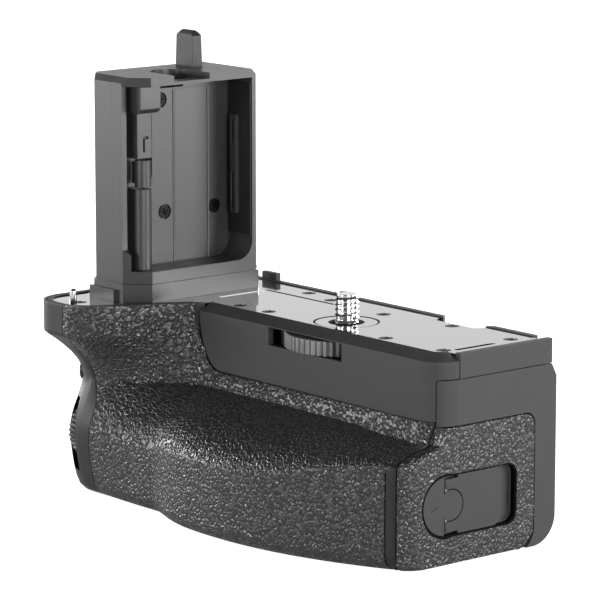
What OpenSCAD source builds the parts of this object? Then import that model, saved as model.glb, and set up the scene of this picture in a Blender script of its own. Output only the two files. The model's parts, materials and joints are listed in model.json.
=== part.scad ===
/* [Body] */
// Distance from the camera screw to the left end
body_left = 77.5; // [76:0.5:90]
// Distance from the camera screw to the battery door's face
body_right = 50; // [48:0.5:60]
// Distance from the camera screw to the back face
body_back = 25.6; // [25:0.2:32]
// Height of the body below the camera
body_h = 52; // [51:0.5:60]
// Distance from the camera screw to the smooth front panel
wall_front = 14; // [13:0.5:16]
// Height of the smooth front panel
panel_h = 16.6; // [14:0.2:18]
// Thickness of the smooth panels
panel_t = 1.8; // [1.4:0.1:2.2]
// Thickness of the rubber skin
skin_t = 1; // [0.8:0.1:1.2]
// Thickness of the casing under the skin
core_t = 1.2; // [1:0.1:1.4]
// Thickness of the metal top plate
plate_t = 1.2; // [0.8:0.1:1.6]
// Depth of the top plate below the rim
plate_recess = 0.3; // [0.2:0.1:0.8]
// Thickness of the bottom cover
cover_t = 1.2; // [1:0.1:1.5]

/* [Grip surface] */
// How far the hand-grip flange stands out in front of the panel
flange_out = 29; // [24:0.5:32]
// Furthest reach of the roll in front of the camera screw
roll_max = 40; // [36:0.5:44]
// Reach of the roll beside the battery door
roll_end = 24; // [20:0.2:27]
// Depth of the finger groove behind the panel line
groove_d = 1.3; // [0.5:0.1:2]
// Radius of the vertical edge at the front left
corner_r = 9.5; // [8:0.5:11]
// Radius of the lower edge
sole_r = 4; // [3:0.5:5]

/* [Camera screw] */
// Diameter of the camera screw
screw_d = 6.35; // [6:0.05:6.5]
// Height of the screw above the mating plane
screw_up = 7; // [4:0.5:8]
// Thread pitch
screw_pitch = 1.27; // [1:0.01:1.5]
// Radius of the attachment wheel
wheel_r = 15.8; // [15:0.1:17]
// Thickness of the attachment wheel
wheel_t = 3.8; // [3:0.1:4.2]
// Number of ridges on the attachment wheel
wheel_ribs = 56; // [40:1:72]

/* [Tower] */
// Width of the tower along the grip
tower_w = 22.6; // [20:0.2:26]
// Depth of the tower from front to back
tower_d = 40.4; // [38:0.2:44]
// Height of the tower above the mating plane
tower_h = 58.5; // [54:0.5:64]
// Distance from the camera screw to the tower's near face
tower_x = 52.4; // [50:0.2:53]
// Chamfer on the tower's front corners
tower_bevel = 5.5; // [4:0.1:6]
// Wall of the tower
tower_wall = 1.6; // [1.2:0.1:2]
// Depth of the door pocket
pocket_d = 10; // [9:0.2:11]

/* [Batteries] */
// Length of one battery
battery_l = 51.7; // [50:0.1:52]
// Width of one battery
battery_w = 38.7; // [37:0.1:39]
// Thickness of one battery
battery_h = 22.7; // [20:0.1:23]
// Play of a battery in its bay
battery_play = 0.3; // [0.2:0.1:0.5]

/* [Battery door] */
// Thickness of the battery door
cap_t = 2.4; // [2.2:0.1:3]
// Height of the lock's pocket
lock_h = 15.2; // [13:0.2:17]
// Distance from the lock's turning axis to the pocket's far end
lock_reach = 23.2; // [20:0.2:25]

/* [Controls] */
// Radius of the front dial
dial_r = 9.6; // [9:0.1:10.5]
// Thickness of the front dial
dial_t = 3.4; // [2.5:0.1:4]
// Radius of the shutter button
shutter_r = 5; // [4:0.1:6]
// Travel of the shutter button
shutter_travel = 1; // [0.5:0.1:1.5]
// Radius of the rear dial
rear_dial_r = 9.2; // [8:0.1:10]
// Radius of the largest rear button
button_r = 3.6; // [3:0.1:4.2]
// Travel of the small buttons
button_travel = 0.5; // [0.3:0.1:0.6]

/* [Fits] */
// Gap between cover pieces
gap = 0.3; // [0.2:0.05:0.4]
// Radial clearance of a running fit
run = 0.05; // [0.02:0.01:0.1]

/* [Hidden] */
$fn = 48;
eps = 0.01;

// Levels of the grip surface, measured down from the mating plane
flange_z = 8;
groove_z = body_h - 31;
nose_z = body_h - 16;
shelf_z = body_h - 25.6;
roll_low = body_h - 19;
// Left end at the waist and at the nose, from the screw
waist_left = body_left - 4;
nose_left = body_left - 1.5;
// The tip where the front panel runs out under the flange
tip_x = -34;
tip_w = 8.5;
// Reach of the roll at its waist, and where its swell and its waist lie
waist_y = roll_max - 5.7;
swell_x = -7;
waist_x = -37;
nose_fall = 0.4;
nose_bulge = 2.2;
// Radius of the vertical edge between the front and the battery door, above and below the groove
edge_r = 7;
edge_low = 3.5;
// The rubber ends beside the end frame
skin_right = body_right - cap_t - gap - 2.3;
back_x = -body_left + 9.5;
edge_left = 1.2;
seam = 0.5;

function ramp(t) = let (c = min(1, max(0, t))) c * c * (3 - 2 * c);
function mix(a, b, t) = a + (b - a) * t;
function flange_y(x) = wall_front + flange_out * ramp((-40 - x) / 21);
function groove_y(x) = wall_front + groove_d + 18.2 * ramp((-36 - x) / 30);
function swell(t) = pow(1 - pow(min(1, max(0, t)), 3), 1.5);
function roll_y(x) = x > swell_x
    ? roll_max - (roll_max - roll_end) * pow((x - swell_x) / (body_right - swell_x), 2)
    : x > waist_x
    ? waist_y + (roll_max - waist_y) * swell((swell_x - x) / (swell_x - waist_x))
    : waist_y - nose_fall * ramp((-46 - x) / 16);
function nose_y(x, d) = nose_bulge * ramp((-44 - x) / 20) * max(0, 1 - pow((d - nose_z + 2) / 15, 2));
function top_z(x) = mix(panel_h, flange_z, ramp((tip_x - x) / 12));
function fillet(t) = ramp(pow(min(1, max(0, t)), 0.6));
function crest(t) = let (s = pow(min(1, max(0, t)), 1.5)) sqrt(1 - pow(1 - s, 2));
// Depths between which the roll swells out of the groove
function dip_z(x) = mix(shelf_z - 4.2, groove_z, ramp((body_right - 6 - x) / 40));
function roll_z(x) = mix(mix(shelf_z, roll_low, ramp((body_right - 6 - x) / 40)), nose_z,
    ramp((-20 - x) / 25));
// How far the vertical edge at the right draws the front in
function edge_in(x, z) = let (r = mix(edge_r, edge_low, ramp((-z - panel_h) / 10)),
    t = min(r, max(0, x - body_right + r))) r - sqrt(r * r - t * t);
// Reach of the front surface at x and z, drawn in by i
function front_y(x, z, i) =
    let (d = -z, a = flange_y(x + i) - i, g = groove_y(x) - i, c = roll_y(x) + nose_y(x, d) - i)
    (d < top_z(x) ? a
    : d < dip_z(x) ? mix(a, g, fillet((d - top_z(x)) / (dip_z(x) - top_z(x))))
    : mix(g, c, crest((d - dip_z(x)) / (roll_z(x) + i - dip_z(x))))) - edge_in(x + i, z);
function left_x(z) = let (d = -z)
    d < groove_z ? -mix(body_left, waist_left, fillet((d - flange_z) / (groove_z - flange_z)))
    : -mix(waist_left, nose_left, ramp((d - groove_z) / (nose_z - groove_z)));
// Length of the front run, of the corner and of the left side at z
function run_front(z) = skin_right - left_x(z) - corner_r;
corner_l = corner_r * PI / 2;
function corner_y(z) = corner_r - front_y(left_x(z) + corner_r, z, 0);
function back_y(z) = mix(body_back - 1.6, body_back, ramp((-z - 7) / 3));
function back_r(z) = back_x - left_x(z);
function run_left(z) = back_y(z) - back_r(z) - corner_y(z);
function run_all(z) = run_front(z) + corner_l + run_left(z) + back_r(z) * PI / 2;
// Point of the plan outline at z, u millimetres along it from the right and drawn in by i
function plan_point(u, z, i) = let (xc = left_x(z) + corner_r, a = u - run_front(z), b = a - corner_l,
    c = b - run_left(z), r = max(0.5, corner_r - i), rb = max(0.5, back_r(z) - i))
    a < 0 ? [skin_right - u, -front_y(skin_right - u, z, i), z]
    : b < 0 ? [xc - r * sin(90 * a / corner_l), corner_y(z) - r * cos(90 * a / corner_l), z]
    : c < 0 ? [left_x(z) + i, corner_y(z) + b, z]
    : let (t = 90 * c / (back_r(z) * PI / 2))
        [back_x - rb * cos(t), back_y(z) - back_r(z) + rb * sin(t), z];
// Point of the surface q millimetres down the side and round the lower edge, e below the surface
sole_top = body_h - sole_r;
girth = sole_top + sole_r * PI / 2;
function sole_turn(q) = (q - sole_top) / sole_r * 180 / PI;
function surface_z(q, e) = q < sole_top ? -q : -sole_top - (sole_r - e) * sin(sole_turn(q));
function surface_in(q, e) = q < sole_top ? e : e + (sole_r - e) * (1 - cos(sole_turn(q)));
function surface_point(u, q, e) = plan_point(u, surface_z(q, e), surface_in(q, e));
// Where the rubber ends along the outline, on the flange and on the nose
function skin_end(z) = run_front(z) + mix(corner_l + 8, -edge_left, ramp((-z - 9) / 10));

// Columns of the rubber: along the panel, up the panel's tip, and round the flange
skin_cols = [18, 8, 15];
skin_rows = 30;
tip_u = skin_right - tip_x;
function skin_top(k) = k < skin_cols[0] ? panel_h + gap
    : k < skin_cols[0] + skin_cols[1]
    ? (panel_h + gap) * cos(90 * (k - skin_cols[0]) / skin_cols[1]) : 0;
function skin_u(k, z) = k < skin_cols[0] ? tip_u * k / skin_cols[0]
    : k < skin_cols[0] + skin_cols[1]
    ? tip_u + (tip_w + gap) * sin(90 * (k - skin_cols[0]) / skin_cols[1])
    : let (u = tip_u + tip_w + gap)
        u + (skin_end(z) - u) * (k - skin_cols[0] - skin_cols[1]) / skin_cols[2];
function skin_at(k, j, e) = let (q = mix(skin_top(k), girth, j / skin_rows))
    surface_point(skin_u(k, surface_z(q, e)), q, e);
panel_cols = 30;
panel_rows = 26;
function end_at(k, j, e) = let (q = mix(0, girth, j / panel_rows), z = surface_z(q, e),
    u = skin_end(z) + seam)
    surface_point(mix(u, run_all(z), k / panel_cols), q, e);

// A closed sheet between two depths of a grid of points
module sheet(at, cols, rows, outer, inner) {
    w = cols + 1;
    n = w * (rows + 1);
    points = [for (e = [outer, inner]) for (j = [0:rows]) for (k = [0:cols]) at(k, j, e)];
    skins = [for (j = [0:rows - 1]) for (k = [0:cols - 1])
        let (a = j * w + k, b = a + 1, c = b + w, d = a + w)
        each [[a, d, c], [a, c, b], [a + n, b + n, c + n], [a + n, c + n, d + n]]];
    loop = concat([0], [for (k = [1:cols]) k], [for (j = [1:rows]) j * w + cols],
        [for (k = [cols - 1:-1:0]) rows * w + k], [for (j = [rows - 1:-1:1]) j * w]);
    m = len(loop);
    sides = [for (i = [0:m - 1]) let (a = loop[i], b = loop[(i + 1) % m])
        each [[a, b, b + n], [a, b + n, a + n]]];
    polyhedron(points, concat(skins, sides), convexity = 8);
}
// A solid extruded along X from a profile drawn in Y and Z
module along_x(x, l) {
    translate([x, 0, 0]) rotate([90, 0, 90]) linear_extrude(l) children();
}
module rod_x(x, y, z, r, l) {
    translate([x, y, z]) rotate([0, 90, 0]) cylinder(r = r, h = l);
}
module rod_y(x, y, z, r, l) {
    translate([x, y, z]) rotate([-90, 0, 0]) cylinder(r = r, h = l);
}
module box(a, b) {
    translate(a) cube(b - a);
}
// A ridged wheel's outline
module ridges(r, count, depth) {
    polygon([for (k = [0:count - 1]) for (s = [[0, depth], [0.3, 0], [0.7, 0]])
        let (t = 360 * (k + s[0]) / count) (r - s[1]) * [cos(t), sin(t)]]);
}

// Top deck: heights from the mating plane
plate_top = -plate_recess;
plate_low = plate_top - plate_t;
deck_low = -7.4;
wheel_low = -6.4;
well_r = wheel_r + 0.6;
rim_w = skin_t + core_t + gap;
plate_front = wall_front - 4.5;
bevel_h = 1.8;
door_top = 6.4;
plate_right = body_right - 1.8 - gap;
rim_back = body_back - 1.6;
rim_back_w = 2;
plate_back = rim_back - rim_back_w - gap;
notch_x = [10, 30];
notch_d = 3.2;
// Points round the flange, the front left corner and the back left corner, drawn in by i at the mating plane
function flange_line(i) = [for (k = [0:14]) let (x = mix(tip_x - tip_w - 0.7, left_x(0) + corner_r,
    k / 14))
    plan_point(skin_right - x, 0, i)];
function left_line(i) = [for (k = [1:6]) plan_point(run_front(0) + corner_l * k / 6, 0, i)];
function back_line(i) = [for (k = [0:6])
    plan_point(run_front(0) + corner_l + run_left(0) + back_r(0) * PI / 12 * k, 0, i)];
// Plan of what lies inside the rim
module deck_outline(i, front, right, back) {
    c = [body_right - edge_r, -wall_front + edge_r];
    r = front - wall_front + edge_r;
    polygon(concat([[right, c[1] + gap], [c[0] + r, c[1] + gap]],
        [for (a = [0:15:90]) c + r * [cos(a), -sin(a)]], [[tip_x - tip_w - 0.6, -front]],
        [for (p = concat(flange_line(i), left_line(i), back_line(i))) [p[0], min(p[1], back)]],
        [[right, back]]));
}
// Places of the plate's screws and the length of their shanks
post_spots = [[40, 12], [40, -4], [-46, 8], [-50, -4]];
long_shank = 4;
short_shank = 0.9;
plate_spots = [[-1.5, 13.8, short_shank], [22.5, -6.6, long_shank], [21.4, 16.6, long_shank],
    [-36.8, 18.6, long_shank], [-25.2, 16.4, long_shank], [-23.3, -6.3, long_shank], [-34.9, -6.5,
        long_shank],
    [-65.3, -35.6, long_shank], [43, -6, long_shank], [43.5, 16, long_shank]];
head_r = 1.7;
head_t = 0.7;
shank_r = 0.9;
pin_r = 0.9;
pin_up = 3.8;
pin_spots = [[-64, -38.6], [-61, 20.1]];
collar_r = 8.5;
collar_bore = screw_d / 2 + 1;
// The screw's plain stem and the pins' roots are a little narrower than their free ends
stem_r = screw_d / 2 - 0.2;
root_r = pin_r - 0.4;
clip_z = deck_low - 2.9;
// Tripod socket and screws in the bottom cover
socket_y = -29.3;
socket_r = 4.8;
cover_spots = [[-40, -26], [30, -26.6], [-67.2, 12]];

// Drawer and tunnel
drawer_y = 0.6;
drawer_round = 3;
drawer_wall = 1;
drawer_floor = 1;
bay_l = battery_l + battery_play;
bay_w = battery_w + 2 * battery_play;
drawer_w = bay_w + 2 * drawer_wall;
drawer_low = -body_h + cover_t + gap;
floor_z = drawer_low + drawer_floor;
drawer_side = 11.5;
drawer_x = body_right - cap_t - 1.3;
bay_wall = 0.9;
drawer_end = drawer_x - 2 * bay_l - 2 * bay_wall;
ceiling = floor_z + battery_h + 0.8;
tunnel_t = 1.2;
drawer_front = drawer_y - drawer_w / 2;
drawer_back = drawer_y + drawer_w / 2;
tunnel_front = drawer_front - 2.2;
tunnel_thin = 0.7;
tunnel_end = drawer_end - 2;
tunnel_right = body_right - cap_t - gap - 2.2;
cap_x = body_right - cap_t;
catch_spots = [drawer_x - 6, drawer_end + bay_l - 6];
catch_r = 0.5;

// Rubber panel and lock in the battery door
skin_edge = 18.5;
skin_head = 17.7;
skin_deep = 0.9;
skin_gap = 0.15;
wrap_t = 1.6;
wrap_steps = 4;
wrap_w = cap_t / wrap_steps;
lock_y = -11;
lock_z = -body_h + 14.8;
lock_r = lock_h / 2;
lock_floor = body_right - 1.8;
lock_t = 1.5;
flap_x = lock_floor + 0.1 + lock_t / 2;
flap_y = lock_y + 0.5;
flap_end = lock_y + lock_reach - 5;
flap_r = 2.6;
boss_r = 3.8;
boss_y = lock_y + 1.7;

// Tower
tower_left = -tower_x - tower_w;
tower_right = -tower_x;
tower_front = -27;
tower_back = tower_front + tower_d;
split_x = tower_right - pocket_d + 0.4;
base_h = 4.5;
pocket_low = 7.7;
pocket_top = tower_h - 2.4;
pocket_back = tower_right - pocket_d;
notch_low = pocket_top + 0.8;
wire_x = tower_left + 4.4;
pocket_plate_t = 1.2;
tab_x = tower_left + 6.9;
tab_y = 3.3;
tab_h = 9.6;
pocket_spots = [[-11, 51], [-9.8, 21.3], [7, 21.3]];
post_x = split_x + 4;
post_y = -20.5;
roller_r = 2.2;

// Controls at the left end
shutter_y = -11;
bezel_r = 9.5;
bezel_x = -nose_left - 0.2;
dial_z = -nose_z;
dial_in = 6.6;
dial_x = -nose_left + dial_in;
dial_up = 0.5;
dial_y = corner_y(dial_z) - sqrt(pow(corner_r, 2) - pow(corner_r - dial_in, 2)) - dial_up + dial_r;
axle_r = 1.5;
frame_x = -nose_left + 10.7;
frame_t = 1.5;
// Controls on the back
row_z = -15;
pad_left = -33;
pad_low = -body_h + 5.7;
pad_top = row_z - 6.7;
board_y = body_back - 6;
board_t = 1.4;
rear_dial_x = -58;
rear_dial_y = body_back + 1.2 - rear_dial_r;
rear_dial_t = 4;
stick_x = -43;
stick_pivot = body_back - 8.4;
key_spots = [[-32, button_r], [-22.5, button_r - 0.6], [-14, button_r - 0.6]];
case_t = 1.4;
back_edge_r = 7.5;
waist_turn = 55;
waist_r = 2.6;
waist_zc = -20;
waist_c = [left_x(waist_zc) + corner_r, corner_y(waist_zc)];

module at_waist() {
    translate([waist_c[0], waist_c[1], waist_zc]) rotate([0, 0, 270 - waist_turn]) rotate([0, 90, 0])
        children();
}

module chassis() {
    color("dimgray") difference() {
        union() {
            translate([0, 0, deck_low]) linear_extrude(plate_low - deck_low) intersection() {
                deck_outline(rim_w + 3, plate_front, tunnel_right - gap, plate_back - 0.3);
                translate([tunnel_right - gap - 200, -60]) square([200, 120]);
            }
            for (x = [-30, 30])
                box([x - 3, -wall_front + panel_t, deck_low], [x + 3, -plate_front + 1, -4]);
            for (p = post_spots)
                translate([p[0], p[1], ceiling + tunnel_t]) cylinder(r = 2.4,
                    h = deck_low - ceiling - tunnel_t + 1);
        }
        translate([0, 0, deck_low - 1]) cylinder(r = well_r, h = plate_low - deck_low + 0.5);
        box([-12, -wall_front, deck_low - 1], [12, -5, plate_low - 0.5]);
        for (p = plate_spots) translate([p[0], p[1], deck_low - 1]) cylinder(r = shank_r + run, h = 10);
        for (p = pin_spots) translate([p[0], p[1], deck_low - 1]) cylinder(r = root_r + run, h = 10);
        translate([0, 0, deck_low - 1]) cylinder(r = collar_bore, h = 10);
        translate([rear_dial_x, rear_dial_y, deck_low - 1]) cylinder(r = axle_r + run, h = 4);
        box([-68, -14, deck_low - 1], [-66, 0, 0]);
    }
}
module drawer_tunnel() {
    color("dimgray") union() {
        low = -body_h + cover_t;
        box([tunnel_end, drawer_back + 0.5, low + 3], [tunnel_right, drawer_back + 0.5 + tunnel_t,
            ceiling + tunnel_t]);
        box([tunnel_end, -11, ceiling], [tunnel_right, drawer_back + 0.6, ceiling + tunnel_t]);
        box([tunnel_end, tunnel_front - tunnel_thin, low + 1.6], [tunnel_right, tunnel_front, -36]);
        box([tunnel_end - tunnel_t, tunnel_front - tunnel_thin, low], [tunnel_end, drawer_back - 3.6, -36]);
        box([tunnel_end - tunnel_t, -11, low + 3], [tunnel_end, drawer_back + 0.5 + tunnel_t,
            ceiling + tunnel_t]);
        for (x = [-40, 25]) for (y = [-6, 14])
            translate([x, y, ceiling + tunnel_t - 0.5]) cylinder(r = 2, h = 3);
    }
}
module top_plate() {
    color([0.16, 0.16, 0.17]) difference() {
        translate([0, 0, plate_low]) linear_extrude(plate_t) difference() {
            deck_outline(rim_w, plate_front, plate_right, plate_back);
            polygon([[notch_x[0], rim_back], [notch_x[0] + 3, rim_back - notch_d - 2],
                [notch_x[1] - 3, rim_back - notch_d - 2], [notch_x[1], rim_back]]);
        }
        for (p = plate_spots) translate([p[0], p[1], plate_low - 1]) {
            cylinder(r = shank_r + run, h = 5);
            translate([0, 0, plate_t - head_t + 0.9]) cylinder(r = head_r + 0.2, h = 3);
        }
        for (p = pin_spots) translate([p[0], p[1], plate_low - 1]) cylinder(r = root_r, h = 5);
        translate([0, 0, plate_low - 1]) cylinder(r = collar_r, h = 5);
        // Narrow slot by the right edge and a shallow bare panel
        translate([plate_right - 3.2, 3, plate_low - 1]) linear_extrude(5) union() {
            square([1.4, 12], center = true);
            for (y = [-6, 6]) translate([0, y]) circle(r = 0.7);
        }
        box([-48, -3, plate_top - 0.15], [-20, 13.6, 1]);
        // Way for the tower's ribbon
        box([-68, -14, plate_low - 1], [-66, 0, 1]);
    }
}
module panel_profile() {
    polygon([[-wall_front, -panel_h], [-wall_front, -bevel_h], [-plate_front - 0.2, 0],
        [-plate_front - 0.2, -panel_t], [panel_t - wall_front, -panel_t - 1.2], [panel_t - wall_front,
            -panel_h]]);
}
module front_panel() {
    window_x = 14.25;
    color([0.3, 0.3, 0.31]) difference() {
        union() {
            intersection() {
                along_x(tip_x - tip_w, body_right - edge_r - tip_x + tip_w) panel_profile();
                rotate([90, 0, 0]) linear_extrude(60)
                    polygon(concat([[60, 1], [60, -panel_h - 1], [tip_x, -panel_h - 1]],
                        [for (k = [0:10]) [tip_x - tip_w * sin(9 * k), -panel_h * cos(9 * k)]],
                        [[tip_x - tip_w, 1]]));
            }
            translate([body_right - edge_r, -wall_front + edge_r, 0]) rotate([0, 0, -90])
                rotate_extrude(angle = 90) intersection() {
                    translate([edge_r - wall_front, 0]) mirror([1, 0]) panel_profile();
                    translate([0, -50]) square([50, 51]);
                }
        }
        box([-window_x, -wall_front - 1, -6.7], [window_x, -wall_front + panel_t + 4, -2.1]);
        box([cap_x - gap, -50, -60], [body_right + 1, 0, -door_top + 0.2]);
    }
}
module grip_core() {
    color("dimgray") sheet(function (k, j, e) skin_at(k, j, e),
        skin_cols[0] + skin_cols[1] + skin_cols[2],
        skin_rows, skin_t + 0.04, skin_t + 0.04 + core_t);
}
module grip_skin() {
    color([0.09, 0.09, 0.1]) sheet(function (k, j, e) skin_at(k, j, e),
        skin_cols[0] + skin_cols[1] + skin_cols[2], skin_rows, 0, skin_t);
}
module control_panel() {
    color([0.25, 0.25, 0.26]) difference() {
        sheet(function (k, j, e) end_at(k, j, e), panel_cols, panel_rows, 0, panel_t);
        rod_x(-body_left - 5, shutter_y, -nose_z, bezel_r + gap / 2, 15);
        box([dial_x - dial_t / 2 - gap, -60, dial_z - dial_r - gap],
            [dial_x + dial_t / 2 + gap, dial_y, dial_z + dial_r + gap]);
        at_waist() cylinder(r = waist_r + gap, h = 20);
    }
}
module rear_profile() {
    low = -body_h + back_edge_r;
    polygon([[rim_back - rim_back_w, 0], [rim_back, 0], [rim_back, -7], [body_back, -9.5], [body_back,
        low - eps],
        [body_back - case_t, low - eps], [body_back - case_t, -10.3], [rim_back - rim_back_w, -7.8]]);
    translate([body_back - back_edge_r, low]) intersection() {
        difference() {
            circle(r = back_edge_r);
            circle(r = back_edge_r - case_t);
        }
        translate([0, -back_edge_r]) square(back_edge_r);
    }
}
module rear_casing() {
    color([0.25, 0.25, 0.26]) difference() {
        union() {
            along_x(back_x + gap, tunnel_right - gap - back_x - gap) rear_profile();
            box([-61, rim_back - rim_back_w + 0.4, -1], [-55, rim_back, 2]);
        }
        translate([0, 0, -7]) linear_extrude(20) polygon([[notch_x[0], rim_back + 1], [notch_x[0] + 3,
            rim_back - notch_d],
            [notch_x[1] - 3, rim_back - notch_d], [notch_x[1], rim_back + 1]]);
        box([rear_dial_x - 7, rear_dial_y, row_z - rear_dial_t / 2 - gap],
            [rear_dial_x + 7, body_back + 1, row_z + rear_dial_t / 2 + gap]);
        for (k = key_spots) rod_y(k[0], body_back - case_t - 1, row_z, k[1] + gap, 5);
        rod_y(stick_x, body_back - case_t - 1, row_z, 4.5, 5);
        box([pad_left, body_back - 0.8, pad_low], [tunnel_right - 3.7, body_back + 1, pad_top]);
    }
}
module rear_pad() {
    color([0.09, 0.09, 0.1]) box([pad_left + gap, body_back - 0.8, pad_low + gap],
        [tunnel_right - 3.7 - gap, body_back + 0.2, pad_top - gap]);
}
module bottom_cover() {
    z = -body_h;
    n = 40;
    last = run_front(z) + corner_l + run_left(z);
    rim = [for (k = [0:n]) let (p = plan_point(mix(0, last, k / n), z, sole_r + gap)) [p[0], p[1]]];
    color([0.2, 0.2, 0.21]) difference() {
        translate([0, 0, z]) linear_extrude(cover_t)
            polygon(concat(rim, [[rim[n][0], body_back - back_edge_r - gap], [tunnel_right - gap,
                body_back - back_edge_r - gap],
                [tunnel_right - gap, rim[0][1]]]));
        translate([0, socket_y, z - 1]) cylinder(r = socket_r + run, h = 5);
        for (p = cover_spots) translate([p[0], p[1], z - 1]) {
            cylinder(r = shank_r + run, h = 5);
            cylinder(r = head_r + 0.1, h = 1.2 + head_t);
        }
    }
}
// The end profile of the roll beside the door, drawn in by i
function end_line(x, top, i) = [for (k = [0:16]) let (z = mix(-top, -body_h + 1.5, k / 16))
    [-front_y(x, z, i), z]];
module end_outline(x, head, front, top, i, f) {
    line = end_line(x, top, f);
    r = back_edge_r;
    difference() {
        polygon(concat([[rim_back - i, -head], [-front, -head], [-front, -top]], line,
            [[line[16][0] + 1.5, -body_h + i], [body_back - i, -body_h + i], [body_back - i, -9.5]]));
        translate([body_back - r, -body_h - 1]) difference() {
            square(r + 1);
            translate([0, r + 1]) circle(r = r - i);
        }
    }
}
module end_frame() {
    strip_y = -wall_front + edge_r + 0.2;
    strip_w = cap_x - gap - tunnel_right;
    color([0.12, 0.12, 0.13]) difference() {
        union() {
            for (k = [0, 1]) along_x(tunnel_right + k * strip_w / 2, strip_w / 2)
                end_outline(tunnel_right + (k + 0.5) * strip_w / 2, door_top - gap, plate_front,
                    panel_h + gap, 0.2, 0.2);
            box([tunnel_right, strip_y, -door_top + 0.2], [body_right, plate_back - 0.3,
                plate_low - 0.1]);
            box([plate_right + gap, strip_y, -door_top + 0.2], [body_right, rim_back, 0]);
        }
        box([tunnel_right - 1, tunnel_front, -body_h + cover_t], [cap_x + 1, drawer_back + 0.4,
            ceiling]);
    }
}
module cross_head(p) {
    translate([p[0], p[1], 0]) difference() {
        union() {
            translate([0, 0, plate_top - head_t]) cylinder(r = head_r, h = head_t);
            translate([0, 0, plate_top - head_t - p[2]]) cylinder(r = shank_r, h = p[2] + 0.1);
        }
        for (a = [0, 90]) rotate([0, 0, a + 20]) translate([-1, -0.2, plate_top - 0.45]) cube([2, 0.4,
            1]);
    }
}
module plate_screws() {
    color([0.08, 0.08, 0.08]) for (p = plate_spots) cross_head(p);
}
module locating_pins() {
    color("silver") for (p = pin_spots) translate([p[0], p[1], 0]) {
        translate([0, 0, -5]) cylinder(r = root_r, h = 5);
        translate([0, 0, plate_top]) cylinder(r = pin_r, h = pin_up - 0.5 - plate_top);
        translate([0, 0, pin_up - 0.5]) cylinder(r1 = pin_r, r2 = pin_r - 0.4, h = 0.5);
    }
}
module screw_collar() {
    color([0.2, 0.2, 0.2]) translate([0, 0, plate_low]) difference() {
        cylinder(r = collar_r, h = plate_t - 0.1);
        translate([0, 0, -1]) cylinder(r = collar_bore, h = 5);
    }
}
module wheel_bridge() {
    color("gray") difference() {
        box([-22, -8, deck_low - 2], [22, 8, deck_low]);
        translate([0, 0, deck_low - 3]) cylinder(r = stem_r + run, h = 5);
    }
}
module attachment_wheel() {
    color([0.1, 0.1, 0.1]) difference() {
        translate([0, 0, wheel_low]) linear_extrude(wheel_t) ridges(wheel_r, wheel_ribs, 0.7);
        translate([0, 0, wheel_low - 1]) cylinder(r = stem_r, h = 8);
    }
}
module camera_screw() {
    start = 0.4;
    turns = floor(screw_up / screw_pitch);
    r = screw_d / 2;
    root = r - 0.55;
    stem = [[0, clip_z - 0.5], [stem_r, clip_z - 0.5], [stem_r, clip_z], [stem_r - 0.6, clip_z],
        [stem_r - 0.6, clip_z + 0.6], [stem_r, clip_z + 0.6], [stem_r, -0.3], [r, -0.3], [r, start]];
    crests = [for (k = [0:turns - 1]) each [[root, start + screw_pitch * (k + 0.32)],
        [root, start + screw_pitch * (k + 0.42)], [r, start + screw_pitch * (k + 0.74)],
        [r, start + screw_pitch * (k + 1)]]];
    color("silver") rotate_extrude() polygon(concat(stem, crests, [[r - 0.6, screw_up], [0, screw_up]]));
}
module screw_clip() {
    color("gray") translate([0, 0, clip_z + 0.05]) difference() {
        cylinder(r = screw_d / 2 + 2, h = 0.5);
        translate([0, 0, -1]) cylinder(r = stem_r - 0.6, h = 3);
        translate([0, -1.5, -1]) cube([9, 3, 3]);
    }
}
module tripod_socket() {
    depth = 7;
    color("silver") translate([0, socket_y, -body_h]) difference() {
        union() {
            cylinder(r = socket_r, h = depth + 1);
            translate([0, 0, cover_t + 0.02]) cylinder(r = socket_r + 0.5, h = 1);
        }
        translate([0, 0, -1]) cylinder(r = screw_d / 2, h = depth + 1);
    }
}
module cover_screws() {
    color([0.08, 0.08, 0.08]) for (p = cover_spots) translate([p[0], p[1], -body_h + 0.2]) difference() {
        union() {
            cylinder(r = head_r, h = head_t);
            cylinder(r = shank_r, h = head_t + 4);
        }
        for (a = [0, 90]) rotate([0, 0, a + 30]) translate([-1, -0.2, -1]) cube([2, 0.4, 1.4]);
    }
}
// Plan of the tower with its bevelled front corners, grown by g
module tower_plan(g) {
    b = tower_bevel;
    polygon([[tower_left - g + b, tower_front - g], [tower_right + g - b, tower_front - g],
        [tower_right + g, tower_front - g + b], [tower_right + g, tower_back + g], [tower_left - g,
            tower_back + g],
        [tower_left - g, tower_front - g + b]]);
}
module tower_solid() {
    top_bevel = 1.5;
    difference() {
        translate([0, 0, base_h]) linear_extrude(tower_h - base_h) tower_plan(0);
        for (s = [[tower_front, -1], [tower_back, 1]])
            translate([tower_left - 1, s[0], tower_h]) rotate([45, 0, 0])
                translate([0, -top_bevel * 0.707, -top_bevel * 0.707]) cube([tower_w + 2,
                    top_bevel * 1.414, top_bevel * 1.414]);
        translate([tower_left, tower_front - 1, tower_h]) rotate([0, 45, 0])
            translate([-top_bevel * 0.707, 0, -top_bevel * 0.707]) cube([top_bevel * 1.414,
                tower_d + 2, top_bevel * 1.414]);
        // Notch in the top
        translate([split_x + 0.5, -8.5, pocket_top - 3]) cylinder(r = 5, h = 10);
        translate([0, 0, notch_low]) linear_extrude(10) polygon([[split_x + 0.5, -13.5],
            [tower_right + 1, -14],
            [tower_right + 1, -2], [split_x + 0.5, -3.5]]);
    }
}
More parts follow.
